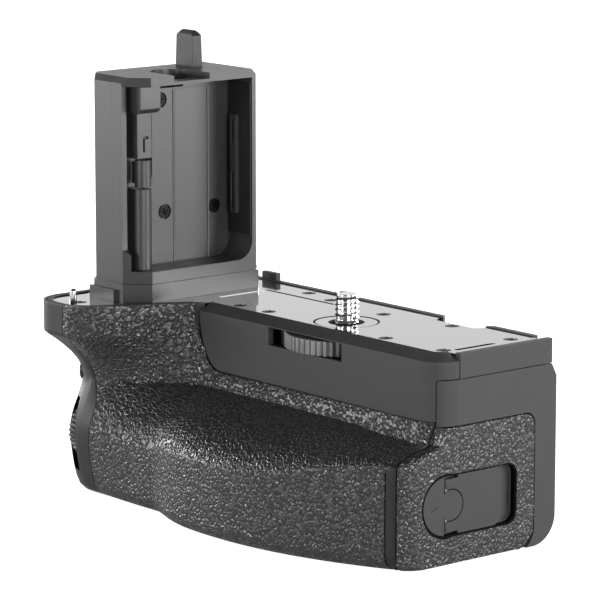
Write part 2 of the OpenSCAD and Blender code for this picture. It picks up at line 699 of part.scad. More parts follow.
module tower_shell() {
    color([0.36, 0.36, 0.37]) union() {
        difference() {
            intersection() {
                tower_solid();
                box([tower_left - 1, tower_front - 1, base_h - 1], [split_x, tower_back + 1,
                    tower_h + 1]);
            }
            box([tower_left + tower_wall, tower_front + tower_wall + 3.5, base_h - 1],
                [split_x + 1, tower_back - tower_wall, pocket_top]);
            translate([tab_x, tab_y, pocket_top - 1]) linear_extrude(9) square([8.2, 3.7],
                center = true);
        }
        difference() {
            translate([0, 0, plate_top]) linear_extrude(base_h - plate_top) tower_plan(0.4);
            box([tower_left + tower_wall, tower_front + 6, 0.8], [split_x - 3,
                tower_back - tower_wall, base_h + 1]);
            box([-68, -14, plate_top - 1], [-66, 0, 3]);
        }
        box([tower_left + tower_bevel - 1, tower_front - 1.5, plate_top], [split_x + 2, tower_front,
            2.8]);
    }
}
module tower_frame() {
    color([0.38, 0.38, 0.39]) difference() {
        intersection() {
            tower_solid();
            box([split_x, tower_front - 1, base_h], [tower_right + 1, tower_back + 1, tower_h + 1]);
        }
        difference() {
            box([split_x - 1, tower_front + tower_wall, pocket_low], [tower_right + 1,
                tower_back - 1.35, pocket_top]);
            translate([split_x - 2, tower_back - 1.35 - 5, pocket_low]) difference() {
                cube([pocket_d + 4, 6, 5]);
                translate([-1, 0, 5]) rotate([0, 90, 0]) cylinder(r = 5, h = pocket_d + 6);
            }
        }
        // The bevelled corner is open above a slanting lip
        rotate([90, 0, 0]) translate([0, 0, 15]) linear_extrude(20)
            polygon([[tower_right - tower_bevel, pocket_low + 5.6], [tower_right + 1, pocket_low],
                [tower_right + 1, pocket_top], [tower_right - tower_bevel, pocket_top]]);
    }
}
module pocket_plate() {
    t = pocket_plate_t;
    x = split_x - 0.1;
    low = base_h + 0.1;
    color([0.34, 0.34, 0.35]) difference() {
        union() {
            box([x - t, tower_front + tower_wall + 3.6, low], [x, tower_back - tower_wall - 0.1,
                pocket_top - 0.1]);
            box([x - t - 0.5, -6.8, low], [x - t + eps, 4.8, pocket_top - 0.1]);
        }
        box([x - 0.5, -6.8, pocket_low + 6], [x + 1, 4.8, pocket_top - 3]);
        for (p = pocket_spots) rod_x(x - 5, p[0], p[1], shank_r + run, 10);
        for (p = pocket_spots) rod_x(x - 0.7, p[0], p[1], 2.05, 3);
        box([x - t - 2, -13.5, pocket_top - 2], [x + 1, -3.5, pocket_top + 1]);
    }
}
module pocket_screws() {
    x = split_x - 0.1;
    color([0.1, 0.1, 0.1]) for (p = pocket_spots) difference() {
        union() {
            rod_x(x - 0.7, p[0], p[1], head_r, 0.6);
            rod_x(x - 4, p[0], p[1], shank_r, 3.4);
        }
        for (a = [0, 90]) translate([x - 0.5, p[0], p[1]]) rotate([a + 15, 0, 0]) translate([0, -1,
            -0.2]) cube([2, 2, 0.4]);
    }
}
module side_bar() {
    y = tower_back - 1.35 - 0.05;
    color([0.3, 0.3, 0.31]) difference() {
        box([split_x + 1.9, y - 1.4, 19.4], [split_x + 4.6, y, 45.8]);
        box([split_x + 2.6, y - 2, 38], [split_x + 3.4, y - 0.5, 44.6]);
        box([split_x + 2.6, y - 2, 20.6], [split_x + 3.4, y - 0.5, 30]);
    }
}
module hinge_post() {
    color([0.33, 0.33, 0.34]) difference() {
        union() {
            translate([post_x, post_y, pocket_low]) cylinder(r = 2.5, h = 21.3);
            box([split_x, post_y - 2.5, pocket_low], [post_x, post_y + 2.5, pocket_low + 21.3]);
        }
        translate([post_x, post_y, pocket_low + 17]) cylinder(r = 0.8, h = 10);
    }
}
module pocket_roller() {
    color([0.3, 0.3, 0.31]) translate([post_x + 0.5, post_y, pocket_low + 22]) cylinder(r = roller_r,
        h = 6.9);
    color([0.3, 0.3, 0.31]) box([split_x + 1.2, post_y - 1, pocket_low + 22.6], [post_x, post_y + 1,
        pocket_low + 28.3]);
}
module clip_plate() {
    color([0.36, 0.36, 0.37]) difference() {
        union() {
            box([split_x, post_y - 2.5, pocket_low + 29.3], [split_x + 5.5, post_y + 2.2,
                pocket_low + 41.3]);
            box([split_x, post_y - 3.2, pocket_low + 41.3], [split_x + 8, post_y + 3.4,
                pocket_top - 0.05]);
        }
        box([split_x + 4.8, post_y - 0.6, pocket_low + 31], [split_x + 6, post_y, pocket_low + 35]);
        box([split_x + 4.8, post_y - 0.6, pocket_low + 34.4], [split_x + 6, post_y + 1.2,
            pocket_low + 35]);
        translate([split_x + 8, post_y + 3.4, pocket_low + 41.3]) rotate([0, 45, 0]) cube([1.6, 20,
            1.6], center = true);
    }
}
module contact_tab() {
    w = 8;
    d = 3.5;
    color([0.2, 0.2, 0.21]) difference() {
        union() {
            translate([tab_x - w / 2, tab_y - d / 2, pocket_top - 6]) cube([w, d,
                tower_h - pocket_top + 6 + tab_h - 1]);
            translate([tab_x - w / 2, tab_y, tower_h + tab_h - d / 2]) rotate([0, 90, 0])
                cylinder(r = d / 2, h = w);
        }
        for (s = [-1, 1]) translate([tab_x + s * w / 2, tab_y, tower_h + tab_h]) rotate([0, 45, 0])
            cube([2, 9, 2], center = true);
    }
}
module tower_board() {
    color("darkgreen") difference() {
        box([wire_x, tab_y - 12, base_h - 3.5], [wire_x + 1.2, tab_y + 4, pocket_top - 1]);
        box([tab_x - 4.3, tab_y - 2, pocket_top - 6.3], [tab_x + 4.3, tab_y + 2, pocket_top]);
    }
    color("orange") box([wire_x + 3, -13.2, -17], [wire_x + 3.4, -0.8, base_h + 6]);
    color("orange") box([wire_x + 1.2, -8.6, base_h + 4], [wire_x + 3.4, -0.8, base_h + 6]);
}
module drawer() {
    hi = floor_z + drawer_side;
    color([0.15, 0.15, 0.16]) difference() {
        box([drawer_end - bay_wall, drawer_front, drawer_low], [cap_x, drawer_back, hi]);
        for (x = [drawer_x - bay_l, drawer_end])
            box([x, drawer_y - bay_w / 2, floor_z], [x + bay_l, drawer_y + bay_w / 2, hi + 1]);
        for (x = catch_spots) box([x - 8.5, drawer_front - 1, hi - 5], [x - 5, drawer_front + 2,
            hi - 1.5]);
        rod_x(drawer_x - 1, lock_y, lock_z, 2.2, 5);
        box([drawer_x + 0.2, lock_y - 6, lock_z - 3.6], [cap_x + 1, lock_y + 6, hi + 1]);
        along_x(drawer_end - 5, cap_x - drawer_end + 10)
            translate([drawer_back - drawer_round, drawer_low + drawer_round]) difference() {
                translate([0, -drawer_round - 1]) square(drawer_round + 1);
                circle(r = drawer_round);
            }
    }
    color([0.15, 0.15, 0.16]) for (x = catch_spots)
        translate([x, drawer_front - 0.95, hi - 6.5]) cylinder(r = catch_r, h = 6.5);
    color([0.15, 0.15, 0.16]) for (x = catch_spots)
        box([x - 0.7, drawer_front - 1.45, hi - 7.3], [x + 0.7, drawer_front + 0.2, hi - 6.4]);
}
module catch(x) {
    hi = floor_z + drawer_side;
    color("darkorange") difference() {
        union() {
            box([x - 8, drawer_front - 1.35, hi - 4.7], [x + 2.5, drawer_front - 0.3, hi - 1.8]);
            box([x - 8, drawer_front - 1.35, hi - 4.7], [x - 6, drawer_front + drawer_wall + 0.2,
                hi - 1.8]);
            translate([x, drawer_front - 0.95, hi - 4.7]) cylinder(r = catch_r + 0.4, h = 2.9);
        }
        translate([x, drawer_front - 0.95, hi - 8]) cylinder(r = catch_r + run, h = 9);
    }
}
module inner_catch() { catch(catch_spots[1]); }
module outer_catch() { catch(catch_spots[0]); }
// Plan of the lock's pocket seen from the end, drawn in by i
module lock_plan(i) {
    union() {
        translate([lock_y, lock_z]) circle(r = lock_r - i);
        translate([lock_y, lock_z - lock_r + i]) square([lock_reach - 3, lock_h - 2 * i]);
        translate([lock_y, lock_z - lock_r + 3]) square([lock_reach - i, lock_h - 6]);
        for (s = [-1, 1]) translate([lock_y + lock_reach - 3, lock_z + s * (lock_r - 3)])
            circle(r = 3 - i);
    }
}
module door_skin_plan(i, low) {
    line = end_line(body_right, skin_head + i, i);
    far = skin_edge - i;
    r = 6;
    difference() {
        union() {
            polygon(concat(line, [[line[16][0] + 1.5, low], [far - r, low], [far - r, low + r],
                [far, low + r], [far, -skin_head - i - 3], [far - 3, -skin_head - i - 3],
                [far - 3, -skin_head - i]]));
            translate([far - 3, -skin_head - i - 3]) circle(r = 3);
            translate([far - r, low + r]) circle(r = r);
        }
        lock_plan(-i);
    }
}
// Cross-section of the door skin where it wraps round the front edge
module door_wrap_plan(x) {
    line = end_line(x, skin_head + skin_gap, 0);
    back = end_line(x, skin_head + skin_gap, wrap_t);
    low = -body_h + skin_gap;
    polygon(concat(line, [[line[16][0] + 1.5, low], [back[16][0], low]], [for (k = [16:-1:0]) back[k]]));
}
module battery_door() {
    color([0.25, 0.25, 0.26]) difference() {
        union() {
            for (k = [0:wrap_steps - 1]) along_x(cap_x + k * wrap_w, wrap_w)
                end_outline(cap_x + (k + 0.5) * wrap_w, door_top, wall_front - edge_r,
                    skin_head + skin_gap, 0, wrap_t + skin_gap);
            translate([0, 0, -skin_head]) linear_extrude(skin_head - door_top) intersection() {
                translate([cap_x, -wall_front]) square([cap_t, edge_r + 1]);
                union() {
                    translate([body_right - edge_r, -wall_front + edge_r]) circle(r = edge_r);
                    translate([0, -wall_front + edge_r - eps]) square([body_right, 20]);
                }
            }
            box([drawer_x + 0.05 + 1.3, lock_y - 9, lock_z - 9], [cap_x + eps,
                lock_y + lock_reach + 1, lock_z + 9]);
        }
        along_x(body_right - skin_deep, 5) door_skin_plan(0, -body_h - 1);
        along_x(lock_floor, 5) lock_plan(0);
        along_x(lock_floor - 0.4, 5) intersection() {
            lock_plan(0.8);
            translate([flap_end + 0.4, -60]) square([40, 60]);
        }
        rod_x(cap_x - 3, lock_y, lock_z, 2 + run, 9);
    }
}
module door_skin() {
    color([0.09, 0.09, 0.1]) union() {
        along_x(body_right - skin_deep, skin_deep + 0.1) door_skin_plan(skin_gap, -body_h + skin_gap);
        for (k = [0:wrap_steps - 1]) along_x(cap_x + k * wrap_w, wrap_w) difference() {
            door_wrap_plan(cap_x + (k + 0.5) * wrap_w);
            if (k > 0) lock_plan(-skin_gap);
        }
    }
}
module lock_disc() {
    color([0.22, 0.22, 0.23]) difference() {
        union() {
            along_x(lock_floor, lock_t + 0.1) intersection() {
                translate([lock_y, lock_z]) circle(r = lock_r - gap);
                translate([lock_y - 20, lock_z - 20]) square([20 - 0.6, 40]);
            }
            along_x(lock_floor, lock_t + 0.1) translate([boss_y, lock_z]) circle(r = boss_r);
            along_x(lock_floor, 0.4) translate([lock_y - 2, lock_z - 3]) square([3, 6]);
            rod_x(cap_x - 1.25, lock_y, lock_z, 2, cap_t - 1 + 0.8);
        }
        translate([flap_x, flap_y, lock_z - 20]) cylinder(r = 0.45, h = 40);
        // Plain arrow
        along_x(lock_floor + lock_t - 0.1, 2) polygon([for (p = [[-5.6, 0.9], [-3.4, 0], [-5.6,
            -0.9]]) [lock_y + p[0] + 0.8, lock_z + p[1]]]);
    }
}
module lock_flap() {
    hinge_w = lock_r - 1;
    color([0.22, 0.22, 0.23]) difference() {
        union() {
            along_x(flap_x - lock_t / 2, lock_t) difference() {
                intersection() {
                    lock_plan(gap);
                    union() {
                        translate([flap_y, -60]) square([flap_end - flap_r - flap_y, 60]);
                        translate([flap_y, lock_z - lock_r + flap_r + gap])
                            square([flap_end - flap_y, lock_h - 2 * flap_r - 2 * gap]);
                        for (s = [-1, 1]) translate([flap_end - flap_r,
                            lock_z + s * (lock_r - gap - flap_r)])
                            circle(r = flap_r);
                    }
                }
                translate([boss_y, lock_z]) circle(r = boss_r + gap);
                for (s = [-1, 1]) translate([lock_y - 5, lock_z + s * (hinge_w + 3) - 3]) square([9, 6]);
            }
            for (s = [-1, 1]) translate([flap_x, flap_y, lock_z + s * (hinge_w + boss_r + gap) / 2])
                cylinder(r = lock_t / 2, h = hinge_w - boss_r - gap, center = true);
        }
        translate([flap_x, flap_y, lock_z - 20]) cylinder(r = 0.45 + run, h = 40);
    }
}
module flap_pin() {
    color("silver") translate([flap_x, flap_y, lock_z - lock_r + 1.1]) cylinder(r = 0.45,
        h = lock_h - 2.2);
}
module lock_cam() {
    color("silver") along_x(cap_x - 0.75, 0.7) difference() {
        union() {
            translate([lock_y, lock_z]) circle(r = 3.2);
            translate([lock_y - 5, lock_z - 1.5]) square([10, 3]);
        }
        translate([lock_y, lock_z]) circle(r = 2);
    }
}
module drawer_contacts() {
    color("gold") for (k = [0:3]) box([drawer_end - bay_wall - 0.3, drawer_y - 9 + 5 * k, floor_z + 3],
        [drawer_end - bay_wall, drawer_y - 6.5 + 5 * k, floor_z + 9]);
}
module terminal_block() {
    color([0.12, 0.12, 0.12]) box([tunnel_end, drawer_y - 12, floor_z + 1], [tunnel_end + 0.5,
        drawer_y + 12, floor_z + 11]);
}
module main_board() {
    color("darkgreen") difference() {
        box([-42, -9, ceiling + tunnel_t + 2.5], [36, 18, ceiling + tunnel_t + 4]);
        translate([0, 0, ceiling]) cylinder(r = 7, h = 10);
    }
}
module board_parts() {
    z = ceiling + tunnel_t + 4;
    color([0.1, 0.1, 0.1]) {
        box([-38, -4, z], [-26, 8, z + 1.4]);
        box([-22, 8, z], [-15, 15, z + 1.2]);
        box([12, -3, z], [22, 5, z + 1.2]);
        box([26, 8, z], [33, 15, z + 3]);
        box([-10, 9, z], [-4, 15, z + 2.5]);
    }
}
module rear_board() {
    color("darkgreen") difference() {
        box([-48.4, board_y - board_t, row_z - 7.5], [-9, board_y, deck_low - 0.05]);
        rod_y(stick_x, board_y - 5, row_z, 3.4, 10);
    }
}
module key_switches() {
    color("silver") for (k = key_spots) rod_y(k[0], board_y, row_z, 2, 1.2);
    color("silver") rod_x(frame_x - 2.2, shutter_y, -nose_z, 2.2, 2.2);
    color("silver") at_waist() intersection() {
        cylinder(r = 1.8, h = 4.2);
        translate([0, 0, 2]) cube([6, 6, 4.4], center = true);
    }
}
module control_frame() {
    low = -body_h + cover_t;
    color("dimgray") difference() {
        union() {
            box([frame_x, -24, low], [frame_x + frame_t, 14, -24]);
            box([frame_x, dial_y - 3, dial_z - 5], [frame_x + frame_t, -20, dial_z + 5]);
            box([frame_x, waist_c[1] - 4, -25], [frame_x + frame_t, waist_c[1] + 6, waist_zc + 4]);
        }
        rod_x(frame_x - 1, dial_y, dial_z, axle_r + run, 5);
        at_waist() cylinder(r = 2.1, h = 9, center = true);
    }
}
module front_dial() {
    color([0.14, 0.14, 0.14]) translate([dial_x - dial_t / 2, dial_y, dial_z]) rotate([0, 90, 0])
        linear_extrude(dial_t) ridges(dial_r, 40, 0.5);
    color([0.14, 0.14, 0.14]) rod_x(dial_x, dial_y, dial_z, axle_r, frame_x + frame_t - dial_x + 0.4);
}
module shutter_bezel() {
    color([0.2, 0.2, 0.21]) difference() {
        rod_x(bezel_x, shutter_y, -nose_z, bezel_r, 4.8);
        rod_x(bezel_x - 1, shutter_y, -nose_z, shutter_r + 0.95 + run, 4.3);
        rod_x(bezel_x - 1, shutter_y, -nose_z, 1.5 + run, 10);
    }
}
module shutter_button() {
    color([0.3, 0.3, 0.31]) {
        rod_x(bezel_x - 2, shutter_y, -nose_z, shutter_r, 2.6);
        rod_x(bezel_x, shutter_y, -nose_z, 1.5, frame_x - 2.2 - shutter_travel - gap - bezel_x);
    }
}
module power_lever() {
    color([0.14, 0.14, 0.14]) difference() {
        union() {
            rod_x(bezel_x - 1.6, shutter_y, -nose_z, bezel_r - 0.6, 1.5);
            rod_x(bezel_x - 0.2, shutter_y, -nose_z, shutter_r + 0.95, 2.8);
            translate([bezel_x - 1.6, shutter_y, -nose_z]) rotate([20, 0, 0]) translate([0, -1.5, 5])
                cube([1.5, 3, 6.5]);
        }
        rod_x(bezel_x - 5, shutter_y, -nose_z, shutter_r + gap, 10);
    }
}
module waist_button() {
    color([0.25, 0.25, 0.26]) at_waist() {
        translate([0, 0, corner_r - panel_t - 1]) cylinder(r = waist_r, h = panel_t + 1.8);
        translate([0, 0, 4.2 + button_travel + 0.2]) cylinder(r = 1.2,
            h = corner_r - panel_t - 4.2 - button_travel - 0.2);
    }
}
module rear_dial() {
    color([0.14, 0.14, 0.14]) translate([rear_dial_x, rear_dial_y, row_z - rear_dial_t / 2])
        linear_extrude(rear_dial_t) ridges(rear_dial_r, 40, 0.5);
    color("silver") translate([rear_dial_x, rear_dial_y, row_z]) cylinder(r = axle_r,
        h = deck_low + 1.5 - row_z);
}
module rear_key(k) {
    foot = board_y + 1.2 + button_travel + 0.15;
    color([0.25, 0.25, 0.26]) rod_y(key_spots[k][0], body_back - case_t + 0.05, row_z,
        key_spots[k][1], case_t + 0.7);
    color([0.25, 0.25, 0.26]) rod_y(key_spots[k][0], foot, row_z, 1.5, body_back - case_t + 0.1 - foot);
}
module focus_button() { rear_key(0); }
module lock_button() { rear_key(1); }
module option_button() { rear_key(2); }
module joystick_base() {
    color([0.1, 0.1, 0.1]) difference() {
        box([stick_x - 5, board_y - board_t - 4.6, row_z - 5], [stick_x + 5, board_y - board_t,
            row_z + 5]);
        rod_y(stick_x, board_y - board_t - 3.8, row_z, 4, 9);
    }
}
module joystick_gimbal() {
    color("silver") difference() {
        union() {
            rod_y(stick_x, stick_pivot - 0.7, row_z, 3.3, 1.4);
            rod_x(stick_x - 3.9, stick_pivot, row_z, 0.4, 7.8);
        }
        rod_y(stick_x, stick_pivot - 2, row_z, 2.3, 4);
    }
}
module joystick() {
    color([0.12, 0.12, 0.12]) {
        rod_y(stick_x, stick_pivot - 0.8, row_z, 1, body_back - stick_pivot + 1);
        translate([stick_x, stick_pivot, row_z - 2.22]) cylinder(r = 0.4, h = 4.44);
        rod_y(stick_x, body_back - 0.6, row_z, 2.6, 2.4);
    }
}

chassis();
drawer_tunnel();
top_plate();
front_panel();
grip_core();
grip_skin();
control_panel();
rear_casing();
rear_pad();
bottom_cover();
end_frame();
plate_screws();
locating_pins();
screw_collar();
wheel_bridge();
attachment_wheel();
camera_screw();
screw_clip();
tripod_socket();
cover_screws();
tower_shell();
tower_frame();
pocket_plate();
pocket_screws();
side_bar();
hinge_post();
pocket_roller();
clip_plate();
contact_tab();
tower_board();
drawer();
battery_door();
door_skin();
lock_disc();
lock_flap();
flap_pin();
lock_cam();
drawer_contacts();
inner_catch();
outer_catch();
main_board();
board_parts();
terminal_block();
rear_board();
key_switches();
control_frame();
front_dial();
shutter_bezel();
shutter_button();
power_lever();
waist_button();
rear_dial();
focus_button();
lock_button();
option_button();
joystick_base();
joystick_gimbal();
joystick();
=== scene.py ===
import json
import math

import bpy
from mathutils import Matrix, Vector


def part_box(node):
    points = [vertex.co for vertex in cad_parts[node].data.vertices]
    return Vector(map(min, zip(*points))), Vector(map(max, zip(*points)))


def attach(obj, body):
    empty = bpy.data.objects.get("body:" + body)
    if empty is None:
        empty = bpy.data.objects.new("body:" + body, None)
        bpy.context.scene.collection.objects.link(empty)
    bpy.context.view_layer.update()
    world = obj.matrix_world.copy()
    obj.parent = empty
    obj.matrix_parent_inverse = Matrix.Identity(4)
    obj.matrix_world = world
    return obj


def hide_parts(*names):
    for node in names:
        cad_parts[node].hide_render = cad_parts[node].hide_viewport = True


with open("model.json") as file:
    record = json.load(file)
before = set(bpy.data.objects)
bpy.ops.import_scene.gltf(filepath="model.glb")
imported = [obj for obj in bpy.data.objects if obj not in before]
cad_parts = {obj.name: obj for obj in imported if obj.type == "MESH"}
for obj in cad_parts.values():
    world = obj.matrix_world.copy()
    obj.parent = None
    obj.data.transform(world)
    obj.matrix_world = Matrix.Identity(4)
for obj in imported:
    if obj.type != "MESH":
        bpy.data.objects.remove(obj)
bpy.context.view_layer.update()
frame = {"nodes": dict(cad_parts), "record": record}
mm = 0.001
print("frame loaded:", len(frame["nodes"]), "nodes")

nodeBody = {n: b for b, names in frame["record"]["behaviour"]["bodies"].items() for n in names}
nodeSlot = {s["node"]: s["material_slot"] for s in frame["record"]["subparts"]}


# selecting

def clearPick():
    if bpy.context.object and bpy.context.object.mode != "OBJECT":
        bpy.ops.object.mode_set(mode="OBJECT")
    bpy.ops.object.select_all(action="DESELECT")


def pick(piece):
    clearPick()
    piece.select_set(True)
    bpy.context.view_layer.objects.active = piece


def editAll(piece):
    pick(piece)
    bpy.ops.object.mode_set(mode="EDIT")
    bpy.ops.mesh.select_all(action="SELECT")


def applyModifier(piece, kind, **values):
    pick(piece)
    mod = piece.modifiers.new(kind.lower(), kind)
    for key, value in values.items():
        setattr(mod, key, value)
    bpy.ops.object.modifier_apply(modifier=mod.name)


def roundEdges(piece, width, segments=2, angle=30):
    applyModifier(piece, "BEVEL", width=width * mm, segments=segments, limit_method="ANGLE",
                  angle_limit=math.radians(angle), harden_normals=False, use_clamp_overlap=True)
    pick(piece)
    bpy.ops.object.shade_smooth_by_angle(angle=math.radians(angle))
    applyModifier(piece, "WEIGHTED_NORMAL", keep_sharp=True)


def moveVerts(piece, rule):
    for v in piece.data.vertices:
        v.co = Vector(rule(v.co / mm)) * mm


def finishPiece(piece, finish, body, slot, *nodes):
    piece.data.materials.clear()
    piece.data.materials.append(finish)
    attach(piece, body)
    if nodes:
        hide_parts(*nodes)
    return piece


# shader building

def addNode(tree, kind, **values):
    node = tree.nodes.new(kind)
    for key, value in values.items():
        if key.startswith("in_"):
            node.inputs[key[3:].replace("_", " ")].default_value = value
        else:
            setattr(node, key, value)
    return node


def link(tree, a, b):
    tree.links.new(a, b)


def mathNode(tree, operation, a, b=None, c=None):
    node = addNode(tree, "ShaderNodeMath", operation=operation)
    for i, value in enumerate((a, b, c)):
        if isinstance(value, (int, float)):
            node.inputs[i].default_value = value
        elif value is not None:
            link(tree, value, node.inputs[i])
    return node.outputs[0]


def rangeNode(tree, value, low, high, outLow=0.0, outHigh=1.0):
    node = addNode(tree, "ShaderNodeMapRange", interpolation_type="SMOOTHSTEP")
    link(tree, value, node.inputs[0])
    for i, v in enumerate((low, high, outLow, outHigh), 1):
        node.inputs[i].default_value = v
    return node.outputs[0]


def newGroup(name, inputs, outputs):
    group = bpy.data.node_groups.new(name, "ShaderNodeTree")
    for label, kind, value in inputs:
        socket = group.interface.new_socket(label, in_out="INPUT", socket_type=kind)
        if value is not None:
            socket.default_value = value
    for label, kind in outputs:
        group.interface.new_socket(label, in_out="OUTPUT", socket_type=kind)
    return group, group.nodes.new("NodeGroupInput").outputs, group.nodes.new("NodeGroupOutput").inputs


# leather grain: crooked pebbles about a millimetre wide between broken channels; the channels' mask also
# gives the painted shade in their colour
grainLook = {"wobble": 0.9, "push": 0.7, "broken": 0.9, "breaks": (0.34, 0.46, 0.2, 1.0),
             "channel": (0.03, 0.15, 1.0, 0.0), "valley": (0.0, 0.34, 1.0, 0.0),
             "fine": 3.0, "fineDepth": 0.12, "broad": 0.08}


def leatherGroup(v):
    g, i, o = newGroup("leatherGrain",
                       [("Vector", "NodeSocketVector", None), ("Size", "NodeSocketFloat", mm)],
                       [("Height", "NodeSocketFloat"), ("Crevice", "NodeSocketFloat"),
                        ("Shade", "NodeSocketFloat")])
    unit = addNode(g, "ShaderNodeVectorMath", operation="DIVIDE")
    link(g, i["Vector"], unit.inputs[0])
    link(g, i["Size"], unit.inputs[1])
    wobble = addNode(g, "ShaderNodeTexNoise", in_Scale=v["wobble"], in_Detail=1.0)
    broken = addNode(g, "ShaderNodeTexNoise", in_Scale=v["broken"], in_Detail=0.0)
    fine = addNode(g, "ShaderNodeTexNoise", in_Scale=v["fine"], in_Detail=2.0)
    broad = addNode(g, "ShaderNodeTexNoise", in_Scale=v["broad"], in_Detail=3.0)
    for node in (wobble, broken, fine, broad):
        link(g, unit.outputs[0], node.inputs["Vector"])
    push = addNode(g, "ShaderNodeVectorMath", operation="MULTIPLY_ADD")
    link(g, wobble.outputs["Color"], push.inputs[0])
    push.inputs[1].default_value = (v["push"],) * 3
    link(g, unit.outputs[0], push.inputs[2])
    cells = addNode(g, "ShaderNodeTexVoronoi", feature="DISTANCE_TO_EDGE", in_Scale=1.0, in_Randomness=1.0)
    link(g, push.outputs[0], cells.inputs["Vector"])
    opened = rangeNode(g, broken.outputs["Fac"], *v["breaks"])
    channel = mathNode(g, "MULTIPLY", rangeNode(g, cells.outputs["Distance"], *v["channel"]), opened)
    valley = mathNode(g, "MULTIPLY", rangeNode(g, cells.outputs["Distance"], *v["valley"]), opened)
    dome = mathNode(g, "SUBTRACT", 1.0, valley)
    link(g, mathNode(g, "MULTIPLY_ADD", fine.outputs["Fac"], v["fineDepth"], dome), o["Height"])
    link(g, channel, o["Crevice"])
    link(g, broad.outputs["Fac"], o["Shade"])
    return g


# fine spark-eroded texture of moulded plastic, with faint cloudy patches
mouldLook = {"size": 0.2 * mm, "depth": 0.01 * mm, "spread": 0.05, "coatRough": 0.06, "grain": 0.8,
             "grainRough": 0.6, "patch": 0.05, "patchRough": 0.62, "patchRange": (0.3, 0.7)}


def mouldGroup(v):
    g, i, o = newGroup("mouldTexture",
                       [("Vector", "NodeSocketVector", None), ("Size", "NodeSocketFloat", v["size"])],
                       [("Height", "NodeSocketFloat"), ("Patch", "NodeSocketFloat")])
    unit = addNode(g, "ShaderNodeVectorMath", operation="DIVIDE")
    link(g, i["Vector"], unit.inputs[0])
    link(g, i["Size"], unit.inputs[1])
    grain = addNode(g, "ShaderNodeTexNoise", in_Scale=v["grain"], in_Detail=2.0, in_Roughness=v["grainRough"])
    patch = addNode(g, "ShaderNodeTexNoise", in_Scale=v["patch"], in_Detail=4.0, in_Roughness=v["patchRough"])
    for node in (grain, patch):
        link(g, unit.outputs[0], node.inputs["Vector"])
    link(g, grain.outputs["Fac"], o["Height"])
    link(g, rangeNode(g, patch.outputs["Fac"], *v["patchRange"]), o["Patch"])
    return g


leatherGrain = leatherGroup(grainLook)
mouldTexture = mouldGroup(mouldLook)


def startMaterial(name):
    mat = bpy.data.materials.new(name)
    mat.use_nodes = True
    tree = mat.node_tree
    tree.nodes.clear()
    out = tree.nodes.new("ShaderNodeOutputMaterial")
    shader = tree.nodes.new("ShaderNodeBsdfPrincipled")
    link(tree, shader.outputs[0], out.inputs["Surface"])
    place = tree.nodes.new("ShaderNodeTexCoord")
    return mat, tree, shader, place.outputs["Object"]


def placeGroup(tree, group, place, **values):
    node = tree.nodes.new("ShaderNodeGroup")
    node.node_tree = group
    link(tree, place, node.inputs["Vector"])
    for key, value in values.items():
        node.inputs[key].default_value = value
    return node.outputs


def mixColour(tree, factor, a, b):
    node = tree.nodes.new("ShaderNodeMix")
    node.data_type = "RGBA"
    link(tree, factor, node.inputs["Factor"])
    for socket, value in ((node.inputs[6], a), (node.inputs[7], b)):
        if hasattr(value, "links"):
            link(tree, value, socket)
        else:
            socket.default_value = (*value, 1.0)
    return node.outputs[2]


def bump(tree, height, depth):
    node = addNode(tree, "ShaderNodeBump", in_Strength=1.0, in_Distance=depth)
    link(tree, height, node.inputs["Height"])
    return node.outputs[0]


def leatherMaterial(name, v):
    mat, tree, shader, place = startMaterial(name)
    grain = placeGroup(tree, leatherGrain, place, Size=v["size"])
    colour = mixColour(tree, grain["Shade"], v["dark"], v["light"])
    # painted shade: the channel mask darkens the colour to near black where the channels' shadow falls
    colour = mixColour(tree, grain["Crevice"], colour, v["paintedChannelShade"])
    link(tree, colour, shader.inputs["Base Color"])
    rough = mathNode(tree, "MULTIPLY_ADD", grain["Crevice"], v["roughCrevice"] - v["rough"], v["rough"])
    link(tree, rough, shader.inputs["Roughness"])
    link(tree, bump(tree, grain["Height"], v["depth"]), shader.inputs["Normal"])
    shader.inputs["Specular IOR Level"].default_value = v["gloss"]
    return mat


def mouldedMaterial(name, v):
    mat, tree, shader, place = startMaterial(name)
    mould = placeGroup(tree, mouldTexture, place, Size=mouldLook["size"])
    link(tree, mixColour(tree, mould["Patch"], v["dark"], v["light"]), shader.inputs["Base Color"])
    rough = mathNode(tree, "MULTIPLY_ADD", mould["Patch"], mouldLook["spread"], v["rough"])
    link(tree, rough, shader.inputs["Roughness"])
    link(tree, bump(tree, mould["Height"], mouldLook["depth"] * v["rough"]), shader.inputs["Normal"])
    return mat, shader


def plasticMaterial(name, v):
    mat, shader = mouldedMaterial(name, v)
    shader.inputs["Specular IOR Level"].default_value = v["gloss"]
    shader.inputs["Coat Weight"].default_value = v.get("coat", 0.0)
    shader.inputs["Coat Roughness"].default_value = mouldLook["coatRough"]
    return mat


def metalMaterial(name, v):
    mat, shader = mouldedMaterial(name, v)
    shader.inputs["Metallic"].default_value = 1.0
    return mat


def grey(value):
    return (value, value, value)


